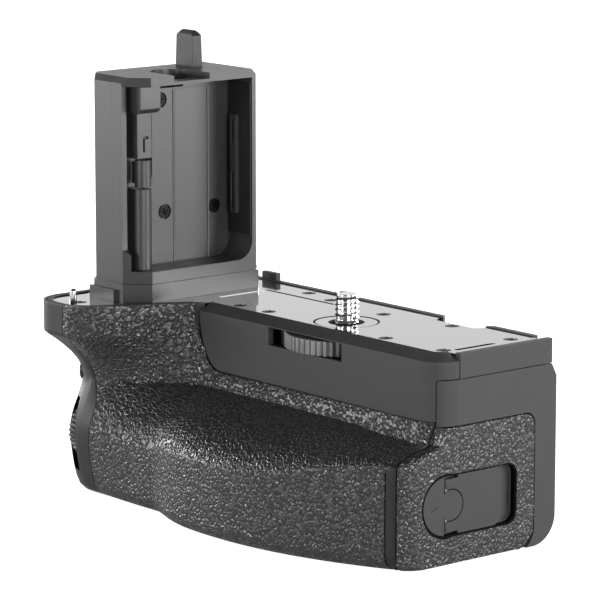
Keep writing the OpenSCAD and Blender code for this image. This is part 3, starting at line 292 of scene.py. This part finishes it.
leatherLooks = {
    "rubber": ("gripLeather", {"size": 1.25 * mm, "depth": 0.19 * mm, "gloss": 0.95,
                               # the channel colour is painted shade in the grain's channels
                               "dark": grey(0.011), "light": grey(0.015), "paintedChannelShade": grey(0.001),
                               "rough": 0.3, "roughCrevice": 0.9}),
}
plasticLooks = {
    "shell": ("shellPlastic", {"dark": grey(0.043), "light": grey(0.048), "rough": 0.52, "gloss": 0.3}),
    "tower": ("towerPlastic", {"dark": grey(0.03), "light": grey(0.035), "rough": 0.34, "gloss": 0.6}),
    "plate": ("plateLacquer", {"dark": grey(0.012), "light": grey(0.014), "rough": 0.06, "gloss": 0.9,
                               "coat": 1.0}),
    "trim": ("blackTrim", {"dark": grey(0.011), "light": grey(0.014), "rough": 0.4, "gloss": 0.4}),
    "control": ("controlBlack", {"dark": grey(0.016), "light": grey(0.02), "rough": 0.36, "gloss": 0.5}),
    "inner": ("innerPlastic", {"dark": grey(0.02), "light": grey(0.026), "rough": 0.5, "gloss": 0.4}),
    "board": ("boardLacquer", {"dark": (0.008, 0.06, 0.022), "light": (0.011, 0.08, 0.03), "rough": 0.3,
                               "gloss": 0.5}),
    "catch": ("catchOrange", {"dark": (0.55, 0.13, 0.01), "light": (0.62, 0.16, 0.015), "rough": 0.4,
                              "gloss": 0.5}),
}
metalLooks = {
    "grip_metal": ("castChassis", {"dark": grey(0.16), "light": grey(0.22), "rough": 0.5}),
    "black_screw": ("blackenedSteel", {"dark": grey(0.012), "light": grey(0.02), "rough": 0.4}),
    "chrome": ("platedSteel", {"dark": grey(0.62), "light": grey(0.75), "rough": 0.16}),
    "steel": ("plainSteel", {"dark": grey(0.4), "light": grey(0.52), "rough": 0.32}),
    "contact": ("goldPlate", {"dark": (0.62, 0.42, 0.14), "light": (0.74, 0.54, 0.22), "rough": 0.25}),
}
finishes = {slot: leatherMaterial(*look) for slot, look in leatherLooks.items()}
finishes.update({slot: plasticMaterial(*look) for slot, look in plasticLooks.items()})
finishes.update({slot: metalMaterial(*look) for slot, look in metalLooks.items()})
for node, piece in frame["nodes"].items():
    piece.data.materials.clear()
    piece.data.materials.append(finishes[nodeSlot[node]])
# near-black sheets laid in seams, slots and round the lock and collar: painted shade
paintedGapShadeLook = {"dark": grey(0.002), "light": grey(0.003), "rough": 0.8, "gloss": 0.1}
# light grey for the pocket beads: painted highlight along their edges
beadHighlightLook = {"dark": grey(0.12), "light": grey(0.14), "rough": 0.35, "gloss": 0.5}
paintedGapShade = plasticMaterial("paintedGapShade", paintedGapShadeLook)
beadHighlightGrey = plasticMaterial("beadHighlightGrey", beadHighlightLook)
print("finishes made:", len(finishes))


# camera, light and floor
studio = {"azimuth": 50.0, "elevation": 10.5, "lens": 210.0, "sensor": 36, "nearest": 0.05, "away": 0.886,
          "right": 0.013286, "up": -0.005857, "horizon": 1.0, "overhead": 0.08,
          "lowFade": (0.25, 0.55), "backFade": (-0.1, 0.5)}
floorLook = {"z": -0.0522, "size": 6, "grey": 0.5, "rough": 0.9, "paper": 0.95, "mirrored": 0.25}


def viewAxes(azimuth, elevation):
    a, e = math.radians(azimuth), math.radians(elevation)
    right = Vector((math.cos(a), math.sin(a), 0))
    ahead = Vector((-math.sin(a) * math.cos(e), math.cos(a) * math.cos(e), -math.sin(e)))
    up = Vector((-math.sin(a) * math.sin(e), math.cos(a) * math.sin(e), math.cos(e)))
    return right, ahead, up


right, ahead, up = viewAxes(studio["azimuth"], studio["elevation"])
bpy.ops.object.camera_add()
camera = bpy.context.object
camera.data.lens = studio["lens"]
camera.data.sensor_width = studio["sensor"]
camera.data.clip_start = studio["nearest"]
turn = Matrix((right, up, -ahead)).transposed().to_4x4()
sight = ahead + studio["right"] * right + studio["up"] * up
camera.matrix_world = Matrix.Translation(-studio["away"] * sight) @ turn
bpy.context.scene.camera = camera


def softbox(name, spot, aim, size, power):
    bpy.ops.object.light_add(type="AREA", location=spot)
    lamp = bpy.context.object
    lamp.name = name
    lamp.data.shape = "RECTANGLE"
    lamp.data.size, lamp.data.size_y = size
    lamp.data.energy = power
    lamp.rotation_euler = (Vector(aim) - Vector(spot)).to_track_quat("-Z", "Y").to_euler()


lamps = {
    "frontBox": {"spot": (0.0, -0.95, 0.12), "aim": (0, 0, -0.02), "size": (0.22, 0.14), "power": 3.2},
    "rightBox": {"spot": (1.05, -0.3, 0.2), "aim": (0, 0, 0), "size": (0.5, 0.5), "power": 8.2},
    "farBox": {"spot": (0.8, 0.66, 0.12), "aim": (0, 0, -0.01), "size": (0.6, 0.45), "power": 9.0},
    "leftBox": {"spot": (-0.8, -0.66, 0.06), "aim": (0, 0, -0.01), "size": (1.0, 0.35), "power": 5.2},
    "backBox": {"spot": (-0.3, 1.0, 0.35), "aim": (0, 0, 0), "size": (0.6, 0.5), "power": 11.0},
    "endBox": {"spot": (-1.05, 0.05, 0.2), "aim": (0, 0, 0), "size": (0.5, 0.4), "power": 8.0},
}
for name, values in lamps.items():
    softbox(name, **values)

world = bpy.data.worlds.new("studioWorld")
bpy.context.scene.world = world
world.use_nodes = True
tree = world.node_tree
tree.nodes.clear()
sky = tree.nodes.new("ShaderNodeTexCoord")
split = tree.nodes.new("ShaderNodeSeparateXYZ")
link(tree, sky.outputs["Generated"], split.inputs[0])
behind = addNode(tree, "ShaderNodeVectorMath", operation="DOT_PRODUCT")
link(tree, sky.outputs["Generated"], behind.inputs[0])
behind.inputs[1].default_value = (ahead.x, ahead.y, 0)
low = rangeNode(tree, split.outputs["Z"], *studio["lowFade"], 1.0, 0.0)
backdrop = mathNode(tree, "MULTIPLY", rangeNode(tree, behind.outputs["Value"], *studio["backFade"]), low)
glow = mathNode(tree, "MULTIPLY_ADD", backdrop, studio["horizon"] - studio["overhead"], studio["overhead"])
path = tree.nodes.new("ShaderNodeLightPath")
back = addNode(tree, "ShaderNodeBackground", in_Color=(1, 1, 1, 1))
link(tree, mathNode(tree, "MAXIMUM", glow, path.outputs["Is Camera Ray"]), back.inputs["Strength"])
link(tree, back.outputs[0], tree.nodes.new("ShaderNodeOutputWorld").inputs["Surface"])

bpy.ops.mesh.primitive_plane_add(size=floorLook["size"], location=(0, 0, floorLook["z"]))
floor = bpy.context.object
floor.name = "floor"
mat, tree, shader = startMaterial("palePaper")[:3]
shader.inputs["Base Color"].default_value = (*grey(floorLook["grey"]), 1)
shader.inputs["Roughness"].default_value = floorLook["rough"]
shader.inputs["Specular IOR Level"].default_value = 0.0
path = tree.nodes.new("ShaderNodeLightPath")
mirrored = mathNode(tree, "MAXIMUM", path.outputs["Is Glossy Ray"], path.outputs["Is Transmission Ray"])
glow = mathNode(tree, "MULTIPLY", path.outputs["Is Camera Ray"], floorLook["paper"])
glow = mathNode(tree, "MAXIMUM", glow, mathNode(tree, "MULTIPLY", mirrored, floorLook["mirrored"]))
shader.inputs["Emission Color"].default_value = (1, 1, 1, 1)
link(tree, glow, shader.inputs["Emission Strength"])
floor.data.materials.append(mat)
bpy.context.scene.view_settings.view_transform = "Standard"
print("studio set")


# copies of CAD solids with their edges rounded
copyLook = {"merge": 0.002, "flat": 0.4}


def copyNode(node, name):
    piece = bpy.data.objects.new(name, frame["nodes"][node].data.copy())
    bpy.context.scene.collection.objects.link(piece)
    pick(piece)
    bpy.ops.mesh.customdata_custom_splitnormals_clear()
    editAll(piece)
    bpy.ops.mesh.remove_doubles(threshold=copyLook["merge"] * mm)
    bpy.ops.mesh.dissolve_limited(angle_limit=math.radians(copyLook["flat"]))
    clearPick()
    return piece


roundings = {
    "top_plate": 0.12, "front_panel": 0.22, "control_panel": 0.25, "rear_casing": 0.4, "rear_pad": 0.3,
    "bottom_cover": 0.25, "end_frame": 0.3, "plate_screws": 0.1, "locating_pins": 0.1, "screw_collar": 0.12,
    "attachment_wheel": 0.12, "tripod_socket": 0.15, "cover_screws": 0.1, "tower_shell": 0.3,
    "tower_frame": 0.3, "pocket_plate": 0.12, "pocket_screws": 0.1, "side_bar": 0.15, "hinge_post": 0.2,
    "pocket_roller": 0.25, "clip_plate": 0.2, "drawer": 0.2, "battery_door": 0.3, "lock_disc": 0.15,
    "lock_flap": 0.15, "front_dial": 0.12, "shutter_bezel": 0.35, "shutter_button": 0.5, "power_lever": 0.25,
    "waist_button": 0.4, "rear_dial": 0.12, "focus_button": 0.3, "lock_button": 0.3, "option_button": 0.3,
    "joystick": 0.4, "joystick_gimbal": 0.1, "inner_catch": 0.15, "outer_catch": 0.15,
}
# nodes that are shown in another finish than the record's
# the joystick gimbal's black trim in place of its steel is painted shade inside the joystick's well
otherSlot = {"control_panel": "trim", "attachment_wheel": "grip_metal", "joystick_gimbal": "trim"}


def dress(node, width):
    piece = copyNode(node, node + "_look")
    roundEdges(piece, width)
    slot = otherSlot.get(node, nodeSlot[node])
    finishPiece(piece, finishes[slot], nodeBody[node], slot, node)


modelled = ("end_frame", "front_dial")
for node, width in roundings.items():
    if node not in modelled:
        dress(node, width)
print("solids dressed:", len(roundings) - len(modelled))


# the hand grip's outer surface, by the part's own curves, in millimetres
hand = {"left": 77.5, "right": 50.0, "height": 52.0, "wall": 14.0, "panel": 16.6, "corner": 9.5, "least": 0.5,
        "sole": 4.0, "edge": 7.0, "edgeLow": 3.5, "edgeSpan": 10.0, "skinRight": 45.0, "gap": 0.3,
        "flange": 29.0, "flangeLow": 8.0, "flangeAt": -40.0, "flangeSpan": 21.0,
        "tipAt": -34.0, "tipWide": 8.5, "tipSpan": 12.0, "endGap": 6.0, "endSpan": 40.0,
        "groove": 21.0, "grooveIn": 1.3, "grooveOut": 18.2, "grooveAt": -36.0, "grooveSpan": 30.0,
        "shelf": 26.4, "shelfRise": 4.2, "roll": 33.0, "rollOut": 40.0, "rollEnd": 24.0, "rollAt": -20.0,
        "rollSpan": 25.0, "swellAt": -7.0, "waistAt": -37.0, "waistOut": 34.3, "waistLeft": 73.5,
        "nose": 36.0, "noseLeft": 76.0, "noseFall": 0.4, "noseAt": -46.0, "noseSpan": 16.0,
        "bulge": 2.2, "bulgeAt": -44.0, "bulgeSpan": 20.0, "bulgeRise": 2.0, "bulgeTall": 15.0}
seamSizes = {"left": 1.2, "flange": 4.2, "waist": 0.4, "nose": 3.8, "waistFrom": 8.0, "waistSpan": 6.0,
             "noseFrom": 20.0, "noseSpan": 9.0}


def ramp(t):
    t = min(1.0, max(0.0, t))
    return t * t * (3 - 2 * t)


def mix(a, b, t):
    return a + (b - a) * t


def fillet(t):
    return ramp(min(1.0, max(0.0, t)) ** 0.6)


def crest(t):
    s = min(1.0, max(0.0, t)) ** 1.5
    return math.sqrt(1 - (1 - s) ** 2)


def rollOut(x):
    h = hand
    if x > h["swellAt"]:
        t = (x - h["swellAt"]) / (h["right"] - h["swellAt"])
        return h["rollOut"] - (h["rollOut"] - h["rollEnd"]) * t ** 2
    if x > h["waistAt"]:
        t = (h["swellAt"] - x) / (h["swellAt"] - h["waistAt"])
        return h["waistOut"] + (h["rollOut"] - h["waistOut"]) * (1 - t ** 3) ** 1.5
    return h["waistOut"] - h["noseFall"] * ramp((h["noseAt"] - x) / h["noseSpan"])


def edgeRadius(z):
    return mix(hand["edge"], hand["edgeLow"], ramp((-z - hand["panel"]) / hand["edgeSpan"]))


# reach of the front without the rounded edge beside the door, drawn in by i
def frontReach(x, z, i=0.0):
    h, d = hand, -z
    top = mix(h["panel"], h["flangeLow"], ramp((h["tipAt"] - x) / h["tipSpan"]))
    rightness = ramp((h["right"] - h["endGap"] - x) / h["endSpan"])
    dip = mix(h["shelf"] - h["shelfRise"], h["groove"], rightness)
    rollLow = mix(mix(h["shelf"], h["roll"], rightness), h["nose"], ramp((h["rollAt"] - x) / h["rollSpan"]))
    flange = h["wall"] + h["flange"] * ramp((h["flangeAt"] - x - i) / h["flangeSpan"]) - i
    if d < top:
        return flange
    groove = h["wall"] + h["grooveIn"] + h["grooveOut"] * ramp((h["grooveAt"] - x) / h["grooveSpan"]) - i
    if d < dip:
        return mix(flange, groove, fillet((d - top) / (dip - top)))
    tall = max(0.0, 1 - ((d - h["nose"] + h["bulgeRise"]) / h["bulgeTall"]) ** 2)
    bulge = h["bulge"] * ramp((h["bulgeAt"] - x) / h["bulgeSpan"]) * tall
    return mix(groove, rollOut(x) + bulge - i, crest((d - dip) / (rollLow + i - dip)))


def frontOut(x, z, i=0.0):
    r = edgeRadius(z)
    t = min(r, max(0.0, x + i - hand["right"] + r))
    return frontReach(x, z, i) - r + math.sqrt(r * r - t * t)


def leftEnd(z):
    h, d = hand, -z
    if d < h["groove"]:
        return -mix(h["left"], h["waistLeft"], fillet((d - h["flangeLow"]) / (h["groove"] - h["flangeLow"])))
    return -mix(h["waistLeft"], h["noseLeft"], ramp((d - h["groove"]) / (h["nose"] - h["groove"])))


# width of the smooth corner beside the leather: broad on the flange and the nose, narrow in the waist
def seamWidth(z):
    k = seamSizes
    upper = mix(k["flange"], k["waist"], ramp((-z - k["waistFrom"]) / k["waistSpan"]))
    return mix(upper, k["nose"], ramp((-z - k["noseFrom"]) / k["noseSpan"]))


# point u along the plan outline from the right, q down the side and round the lower edge, drawn in by i
sideLength = hand["height"] - hand["sole"] + hand["sole"] * math.pi / 2


def handPoint(u, q, i=0.0):
    h = hand
    turn = max(0.0, (q - h["height"] + h["sole"]) / h["sole"])
    z = -min(q, h["height"] - h["sole"]) - (h["sole"] - i) * math.sin(turn)
    i = i + (h["sole"] - i) * (1 - math.cos(turn))
    start = h["skinRight"] - leftEnd(z) - h["corner"]
    if u < start:
        x = h["skinRight"] - u
        return x, -frontOut(x, z, i), z
    xc = leftEnd(z) + h["corner"]
    yc = h["corner"] - frontOut(xc, z)
    r = max(h["least"], h["corner"] - i)
    angle = (u - start) / h["corner"]
    if angle < math.pi / 2:
        return xc - r * math.sin(angle), yc - r * math.cos(angle), z
    return leftEnd(z) + i, yc + (angle - math.pi / 2) * h["corner"], z


# the leather runs under the panel, climbs round its tip and covers the flange
leatherLook = {"across": 246, "down": 120, "thick": 0.95, "rim": 0.3, "columns": (18, 8, 15), "reach": 2.15,
               "reachOver": 1.0, "reachSpan": 3.0, "reachWide": 8.0}


def skinPoint(a, b):
    h, k = hand, leatherLook
    under, climbing, covering = k["columns"]
    column = a * sum(k["columns"])
    head, tip = h["panel"] + h["gap"], h["skinRight"] - h["tipAt"]
    climb = min(1.0, max(0.0, (column - under) / climbing)) * math.pi / 2
    q = mix(head * math.cos(climb), sideLength, b)
    z = -min(q, h["height"] - h["sole"])
    if column < under:
        u = tip * column / under
    else:
        u = tip + (h["tipWide"] + h["gap"]) * math.sin(climb)
    if column > under + climbing:
        end = h["skinRight"] - leftEnd(z) - h["corner"] - seamSizes["left"] - seamWidth(z)
        u = mix(u, end, (column - under - climbing) / covering)
    reach = k["reach"] * ramp((h["shelf"] + k["reachOver"] + z) / k["reachSpan"])
    return handPoint(u - reach * max(0.0, 1 - u / k["reachWide"]), q)


# a thin closed piece over a grid: point takes 0 to 1 both ways and gives millimetres
gridLook = {"span": 1000.0, "segments": 3, "angle": 50}


def surfacePiece(name, across, down, point, thick, rim):
    span = gridLook["span"]
    bpy.ops.mesh.primitive_grid_add(x_subdivisions=across, y_subdivisions=down, size=span * mm)
    piece = bpy.context.object
    piece.name = name
    moveVerts(piece, lambda v: point(v.x / span + 0.5, v.y / span + 0.5))
    applyModifier(piece, "SOLIDIFY", thickness=thick * mm, offset=-1.0, use_even_offset=True)
    if rim:
        roundEdges(piece, rim, gridLook["segments"], gridLook["angle"])
    return piece


w = leatherLook
leather = surfacePiece("gripLeather", w["across"], w["down"], skinPoint, w["thick"], w["rim"])
finishPiece(leather, finishes["rubber"], nodeBody["grip_skin"], nodeSlot["grip_skin"], "grip_skin")

# smooth corner at the left end, from the leather's seam to the control panel
cornerLook = {"across": 40, "down": 120, "thick": 0.8, "rim": 0.2, "gap": 0.2, "past": 8.0, "over": 0.8,
              "endFrom": 9.0, "endSpan": 10.0}


def cornerPoint(a, b):
    c, h = cornerLook, hand
    q = mix(0.0, sideLength, b)
    z = -min(q, h["height"] - h["sole"])
    start = h["skinRight"] - leftEnd(z) - h["corner"]
    upper, lower = h["corner"] * math.pi / 2 + c["past"], c["over"] - seamSizes["left"]
    end = start + mix(upper, lower, ramp((-z - c["endFrom"]) / c["endSpan"]))
    return handPoint(mix(start - seamSizes["left"] - seamWidth(z) + c["gap"], end, a), q)


w = cornerLook
corner = surfacePiece("leftCorner", w["across"], w["down"], cornerPoint, w["thick"], w["rim"])
finishPiece(corner, finishes["trim"], nodeBody["grip_skin"], "trim")

# end frame: grey band under the plate, dark smooth strip between the leather and the door
endLook = {"across": 8, "down": 90, "thick": 1.4, "rim": 0.2, "left": 45.2, "right": 47.35, "head": 16.9,
           "sunk": 0.15, "back": 1.0, "below": -16.6, "front": -9.0}


def stripPoint(a, b):
    e = endLook
    u = hand["skinRight"] - mix(e["right"], e["left"], a)
    return handPoint(u, mix(e["head"], sideLength, b), e["sunk"])


def drawBack(v):
    beside = v.z < endLook["below"] and v.y < endLook["front"]
    return v.x, v.y + endLook["back"] if beside else v.y, v.z


w = endLook
strip = surfacePiece("endStrip", w["across"], w["down"], stripPoint, w["thick"], w["rim"])
finishPiece(strip, finishes["trim"], nodeBody["end_frame"], "trim")
endFrame = copyNode("end_frame", "endFrame_look")
moveVerts(endFrame, drawBack)
roundEdges(endFrame, roundings["end_frame"])
finishPiece(endFrame, finishes["shell"], nodeBody["end_frame"], "shell", "end_frame")

# door leather: one surface over the flat and round the front edge, with a hole for the lock
doorLook = {"across": 150, "down": 120, "thick": 0.8, "rim": 0.22, "bend": 0.22, "seam": 47.72, "face": 50.1,
            "head": 18.0, "foot": 51.8, "far": 18.15, "headRound": 3.0, "footRound": 6.0, "lowRound": 2.2,
            "lockY": -11.0, "lockZ": -37.2, "lockRadius": 7.8, "lockGap": 0.3, "lockReach": 23.4,
            "lockCorner": 3.2, "cutDeep": 8.0, "cutSides": 96, "cutSteps": 10}


def cornerIn(depth, radius):
    t = max(0.0, radius - depth)
    return radius - math.sqrt(max(0.0, radius * radius - t * t))


def doorPoint(a, b):
    d, bend = doorLook, doorLook["bend"]
    a = 1 - a
    z = -mix(d["head"], d["foot"], b)
    r = edgeRadius(z)
    start = math.asin((d["seam"] - d["face"] + r) / r)
    angle = mix(start, math.pi / 2, min(1.0, a / bend))
    x = d["face"] - r + r * math.sin(angle)
    low = cornerIn(d["foot"] + z, d["lowRound"])
    y = -(frontReach(x, z) - r + r * math.cos(angle)) + low
    far = d["far"] - cornerIn(-z - d["head"], d["headRound"]) - cornerIn(d["foot"] + z, d["footRound"])
    return x, mix(y, far, max(0.0, (a - bend) / (1 - bend))), z


def cutWith(piece, cutter):
    applyModifier(piece, "BOOLEAN", operation="DIFFERENCE", solver="EXACT", object=cutter)
    bpy.data.objects.remove(cutter)


w = doorLook
doorLeather = surfacePiece("doorLeather", w["across"], w["down"], doorPoint, w["thick"], 0)
lockSpot = Vector((w["face"], w["lockY"], w["lockZ"])) * mm
bpy.ops.mesh.primitive_cylinder_add(vertices=w["cutSides"], radius=(w["lockRadius"] + w["lockGap"]) * mm,
                                    depth=w["cutDeep"] * mm, location=lockSpot, rotation=(0, math.pi / 2, 0))
cutWith(doorLeather, bpy.context.object)


def cutterPoint(v):
    x, y, z = v * mm
    return (doorLook["face"] + x * doorLook["cutDeep"], doorLook["lockY"] + (y + 0.5) * doorLook["lockReach"],
            doorLook["lockZ"] + 2 * z * doorLook["lockRadius"])


bpy.ops.mesh.primitive_cube_add(size=1)
cutter = bpy.context.object
moveVerts(cutter, cutterPoint)
editAll(cutter)
bpy.ops.mesh.select_all(action="DESELECT")
clearPick()
farEnd = (w["lockY"] + w["lockReach"] - 1) * mm
for edge in cutter.data.edges:
    ends = [cutter.data.vertices[i].co for i in edge.vertices]
    edge.select = min(e.y for e in ends) > farEnd and abs(ends[0].x - ends[1].x) > mm
pick(cutter)
bpy.ops.object.mode_set(mode="EDIT")
bpy.ops.mesh.select_mode(type="EDGE")
bpy.ops.mesh.bevel(offset=w["lockCorner"] * mm, segments=w["cutSteps"])
clearPick()
cutWith(doorLeather, cutter)
roundEdges(doorLeather, w["rim"], 2, gridLook["angle"])
finishPiece(doorLeather, finishes["rubber"], nodeBody["door_skin"], nodeSlot["door_skin"], "door_skin")
print("leather modelled")

# painted shade: a dark liner round the lock, so that the disc and the flap stand in a shaded gap
linerLook = {"along": 180, "deep": 1.4, "radius": 7.6, "reach": 23.2, "corner": 3.0, "inner": -0.22,
             "outer": 0.6, "top": 49.72}


def lockOutline(t, off):
    k, d = linerLook, doorLook
    r, c = k["radius"] + off, k["corner"] + off
    side, rise = k["reach"] - k["corner"], 2 * (k["radius"] - k["corner"])
    runs = (math.pi * k["radius"], side, math.pi / 2 * k["corner"], rise, math.pi / 2 * k["corner"], side)
    along = t * sum(runs)
    for i, run in enumerate(runs):
        if along <= run or i == len(runs) - 1:
            break
        along -= run
    f = min(1.0, along / runs[i])
    if i == 0:
        y, z = -r * math.sin(math.pi * f), r * math.cos(math.pi * f)
    elif i in (1, 5):
        y, z = (side * f, -r) if i == 1 else (side * (1 - f), r)
    elif i == 3:
        y, z = side + c, mix(-rise / 2, rise / 2, f)
    else:
        turn = math.pi / 2 * f
        y = side + c * (math.sin(turn) if i == 2 else math.cos(turn))
        z = -rise / 2 - c * math.cos(turn) if i == 2 else rise / 2 + c * math.sin(turn)
    return d["lockY"] + y, d["lockZ"] + z


def linerPoint(a, b):
    return linerLook["top"], *lockOutline(a, mix(linerLook["outer"], linerLook["inner"], b))


# painted shade: a dark seam strip round the door leather, along its head and down its far side
seamLook = {"along": 200, "thick": 0.8, "x": 49.93, "start": -9.0, "inner": -0.05, "outer": 0.3,
            "turnAt": 0.3, "downAt": 0.4, "footAt": 0.8, "footShare": 1 / 1.1}


def seamPoint(a, b):
    d, k = doorLook, seamLook
    a = 1 - a
    off = mix(k["outer"], k["inner"], b)
    top, side = d["head"] + d["headRound"], d["far"] - d["headRound"]
    if a < k["turnAt"]:
        return k["x"], mix(k["start"], side, a / k["turnAt"]), off - d["head"]
    if a < k["downAt"]:
        turn = (a - k["turnAt"]) / (k["downAt"] - k["turnAt"]) * math.pi / 2
        r = d["headRound"] + off
        return k["x"], side + r * math.sin(turn), -top + r * math.cos(turn)
    low = d["footRound"] - d["foot"]
    if a < k["footAt"]:
        return k["x"], d["far"] + off, mix(-top, low, (a - k["downAt"]) / (k["footAt"] - k["downAt"]))
    turn = (a - k["footAt"]) / (1 - k["footAt"]) * math.pi / 2 * k["footShare"]
    r = d["footRound"] + off
    return k["x"], d["far"] - d["footRound"] + r * math.cos(turn), low - r * math.sin(turn)


seam = surfacePiece("doorSeam", seamLook["along"], 2, seamPoint, seamLook["thick"], 0)
finishPiece(seam, paintedGapShade, nodeBody["battery_door"], "trim")

liner = surfacePiece("lockLiner", linerLook["along"], 2, linerPoint, linerLook["deep"], 0)
finishPiece(liner, paintedGapShade, nodeBody["battery_door"], "trim")

# camera's battery door pocket: middle panel between two beads lightened as painted highlight, a black strip
# beside the latch as painted shadow, and a dark sheet on the far wall as painted shade
pocketLook = {
    "pocketPanel": {"low": (-62.6, -6.45, 7.8), "high": (-62.04, 4.45, 53.6), "round": 0.08},
    "leftBead": {"low": (-62.5, -7.02, 7.8), "high": (-61.88, -6.58, 53.6), "round": 0.18},
    "rightBead": {"low": (-62.5, 4.58, 7.8), "high": (-61.88, 5.02, 53.6), "round": 0.18},
    # latchSlot: black strip, painted shadow beside the latch
    "latchSlot": {"low": (-62.4, -16.5, 31.0), "high": (-62.02, -13.9, 48.8), "round": 0.1},
    # farLiner: dark sheet, painted shade on the pocket's far wall
    "farLiner": {"low": (-61.7, 11.6, 14.0), "high": (-52.7, 11.9, 54.6), "round": 0.1},
}


def block(name, finish, slot):
    v = pocketLook[name]
    bpy.ops.mesh.primitive_cube_add(size=2 * mm)
    piece = bpy.context.object
    piece.name = name
    moveVerts(piece, lambda p: [mix(a, b, (c + 1) / 2) for a, b, c in zip(v["low"], v["high"], p)])
    roundEdges(piece, v["round"])
    finishPiece(piece, finish, nodeBody["pocket_plate"], slot)


block("pocketPanel", finishes["tower"], "tower")
block("leftBead", beadHighlightGrey, "tower")
block("rightBead", beadHighlightGrey, "tower")
block("latchSlot", paintedGapShade, "trim")
block("farLiner", finishes["trim"], "trim")
print("lock and pocket lined")

# front dial: sits inside its slot
dialLook = {"y": -26.507, "z": -36.0, "keep": 0.93}
dial = copyNode("front_dial", "frontDial_look")
moveVerts(dial, lambda v: (v.x, mix(dialLook["y"], v.y, dialLook["keep"]),
                           mix(dialLook["z"], v.z, dialLook["keep"])))
roundEdges(dial, roundings["front_dial"])
finishPiece(dial, finishes["control"], nodeBody["front_dial"], "control", "front_dial")

# screw collar: painted shade as a dark line round it and a dark mouth round the screw
ringLook = {"around": 96, "thick": 0.2, "edge": (7.95, 8.45), "mouth": (3.5, 4.6), "proud": 0.04}
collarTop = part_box("screw_collar")[1][2] / mm


def ringPoint(inner, outer):
    def point(a, b):
        r, turn = mix(outer, inner, b), 2 * math.pi * a
        return r * math.cos(turn), r * math.sin(turn), collarTop + ringLook["proud"]
    return point


w = ringLook
for name in ("edge", "mouth"):
    ring = surfacePiece("collar" + name.capitalize(), w["around"], 2, ringPoint(*w[name]), w["thick"], 0)
    finishPiece(ring, paintedGapShade, nodeBody["screw_collar"], "trim")

# joystick boot: dark ring in the well, under the cap's lowest edge
bootLook = {"around": 96, "thick": 0.4, "inner": 2.3, "outer": 4.42, "proud": 1.8, "sunk": 1.4}
stickLow, stickHigh = (Vector(corner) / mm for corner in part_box("joystick"))
stickMiddle = (stickLow + stickHigh) / 2


def bootPoint(a, b):
    r, turn = mix(bootLook["outer"], bootLook["inner"], b), 2 * math.pi * a
    return (stickMiddle.x + r * math.sin(turn), stickHigh.y - bootLook["proud"] - bootLook["sunk"],
            stickMiddle.z + r * math.cos(turn))


boot = surfacePiece("stickBoot", bootLook["around"], 2, bootPoint, bootLook["thick"], 0)
finishPiece(boot, finishes["trim"], nodeBody["rear_casing"], "trim")

# contact tab: tapers towards its top
tabLook = {"x": -68.1, "y": 3.3, "low": 58.5, "high": 68.1, "taper": 0.17, "round": 0.5}
tab = copyNode("contact_tab", "contactTab_look")


def taperTab(v):
    keep = 1 - tabLook["taper"] * max(0.0, v.z - tabLook["low"]) / (tabLook["high"] - tabLook["low"])
    return mix(tabLook["x"], v.x, keep), mix(tabLook["y"], v.y, keep), v.z


moveVerts(tab, taperTab)
roundEdges(tab, tabLook["round"], 3)
tabSlot = nodeSlot["contact_tab"]
finishPiece(tab, finishes[tabSlot], nodeBody["contact_tab"], tabSlot, "contact_tab")

# camera screw: one thread ridge wound round a plain core
screwLook = {"radius": 3.175, "root": 2.62, "shank": 0.2, "round": 0.1, "pitch": 1.27, "low": 0.9,
             "turns": 4.6, "steps": 200, "ridge": 0.6, "ridgeTall": 0.95, "smooth": 40}


def coreOnly(v):
    keep = min(1.0, screwLook["root"] / max(0.01, math.hypot(v.x, v.y))) if v.z > screwLook["shank"] else 1.0
    return v.x * keep, v.y * keep, v.z


w = screwLook
screw = copyNode("camera_screw", "cameraScrew_look")
moveVerts(screw, coreOnly)
roundEdges(screw, w["round"])
bpy.ops.mesh.primitive_circle_add(vertices=4, radius=w["ridge"] * mm, rotation=(math.pi / 2, 0, 0))
ridge = bpy.context.object
bpy.ops.object.transform_apply(location=False, rotation=True, scale=False)
moveVerts(ridge, lambda v: (w["radius"] - w["ridge"] + v.x, v.y, w["low"] + v.z * w["ridgeTall"]))
applyModifier(ridge, "SCREW", axis="Z", angle=2 * math.pi * w["turns"], steps=w["steps"],
              render_steps=w["steps"], screw_offset=w["pitch"] * w["turns"] * mm, iterations=1)
editAll(ridge)
bpy.ops.mesh.normals_make_consistent(inside=False)
pick(ridge)
bpy.ops.object.shade_smooth_by_angle(angle=math.radians(w["smooth"]))
finishPiece(ridge, finishes["chrome"], nodeBody["camera_screw"], nodeSlot["camera_screw"])
ridge.name = "screwThread"
finishPiece(screw, finishes["chrome"], nodeBody["camera_screw"], nodeSlot["camera_screw"], "camera_screw")
print("screw wound")
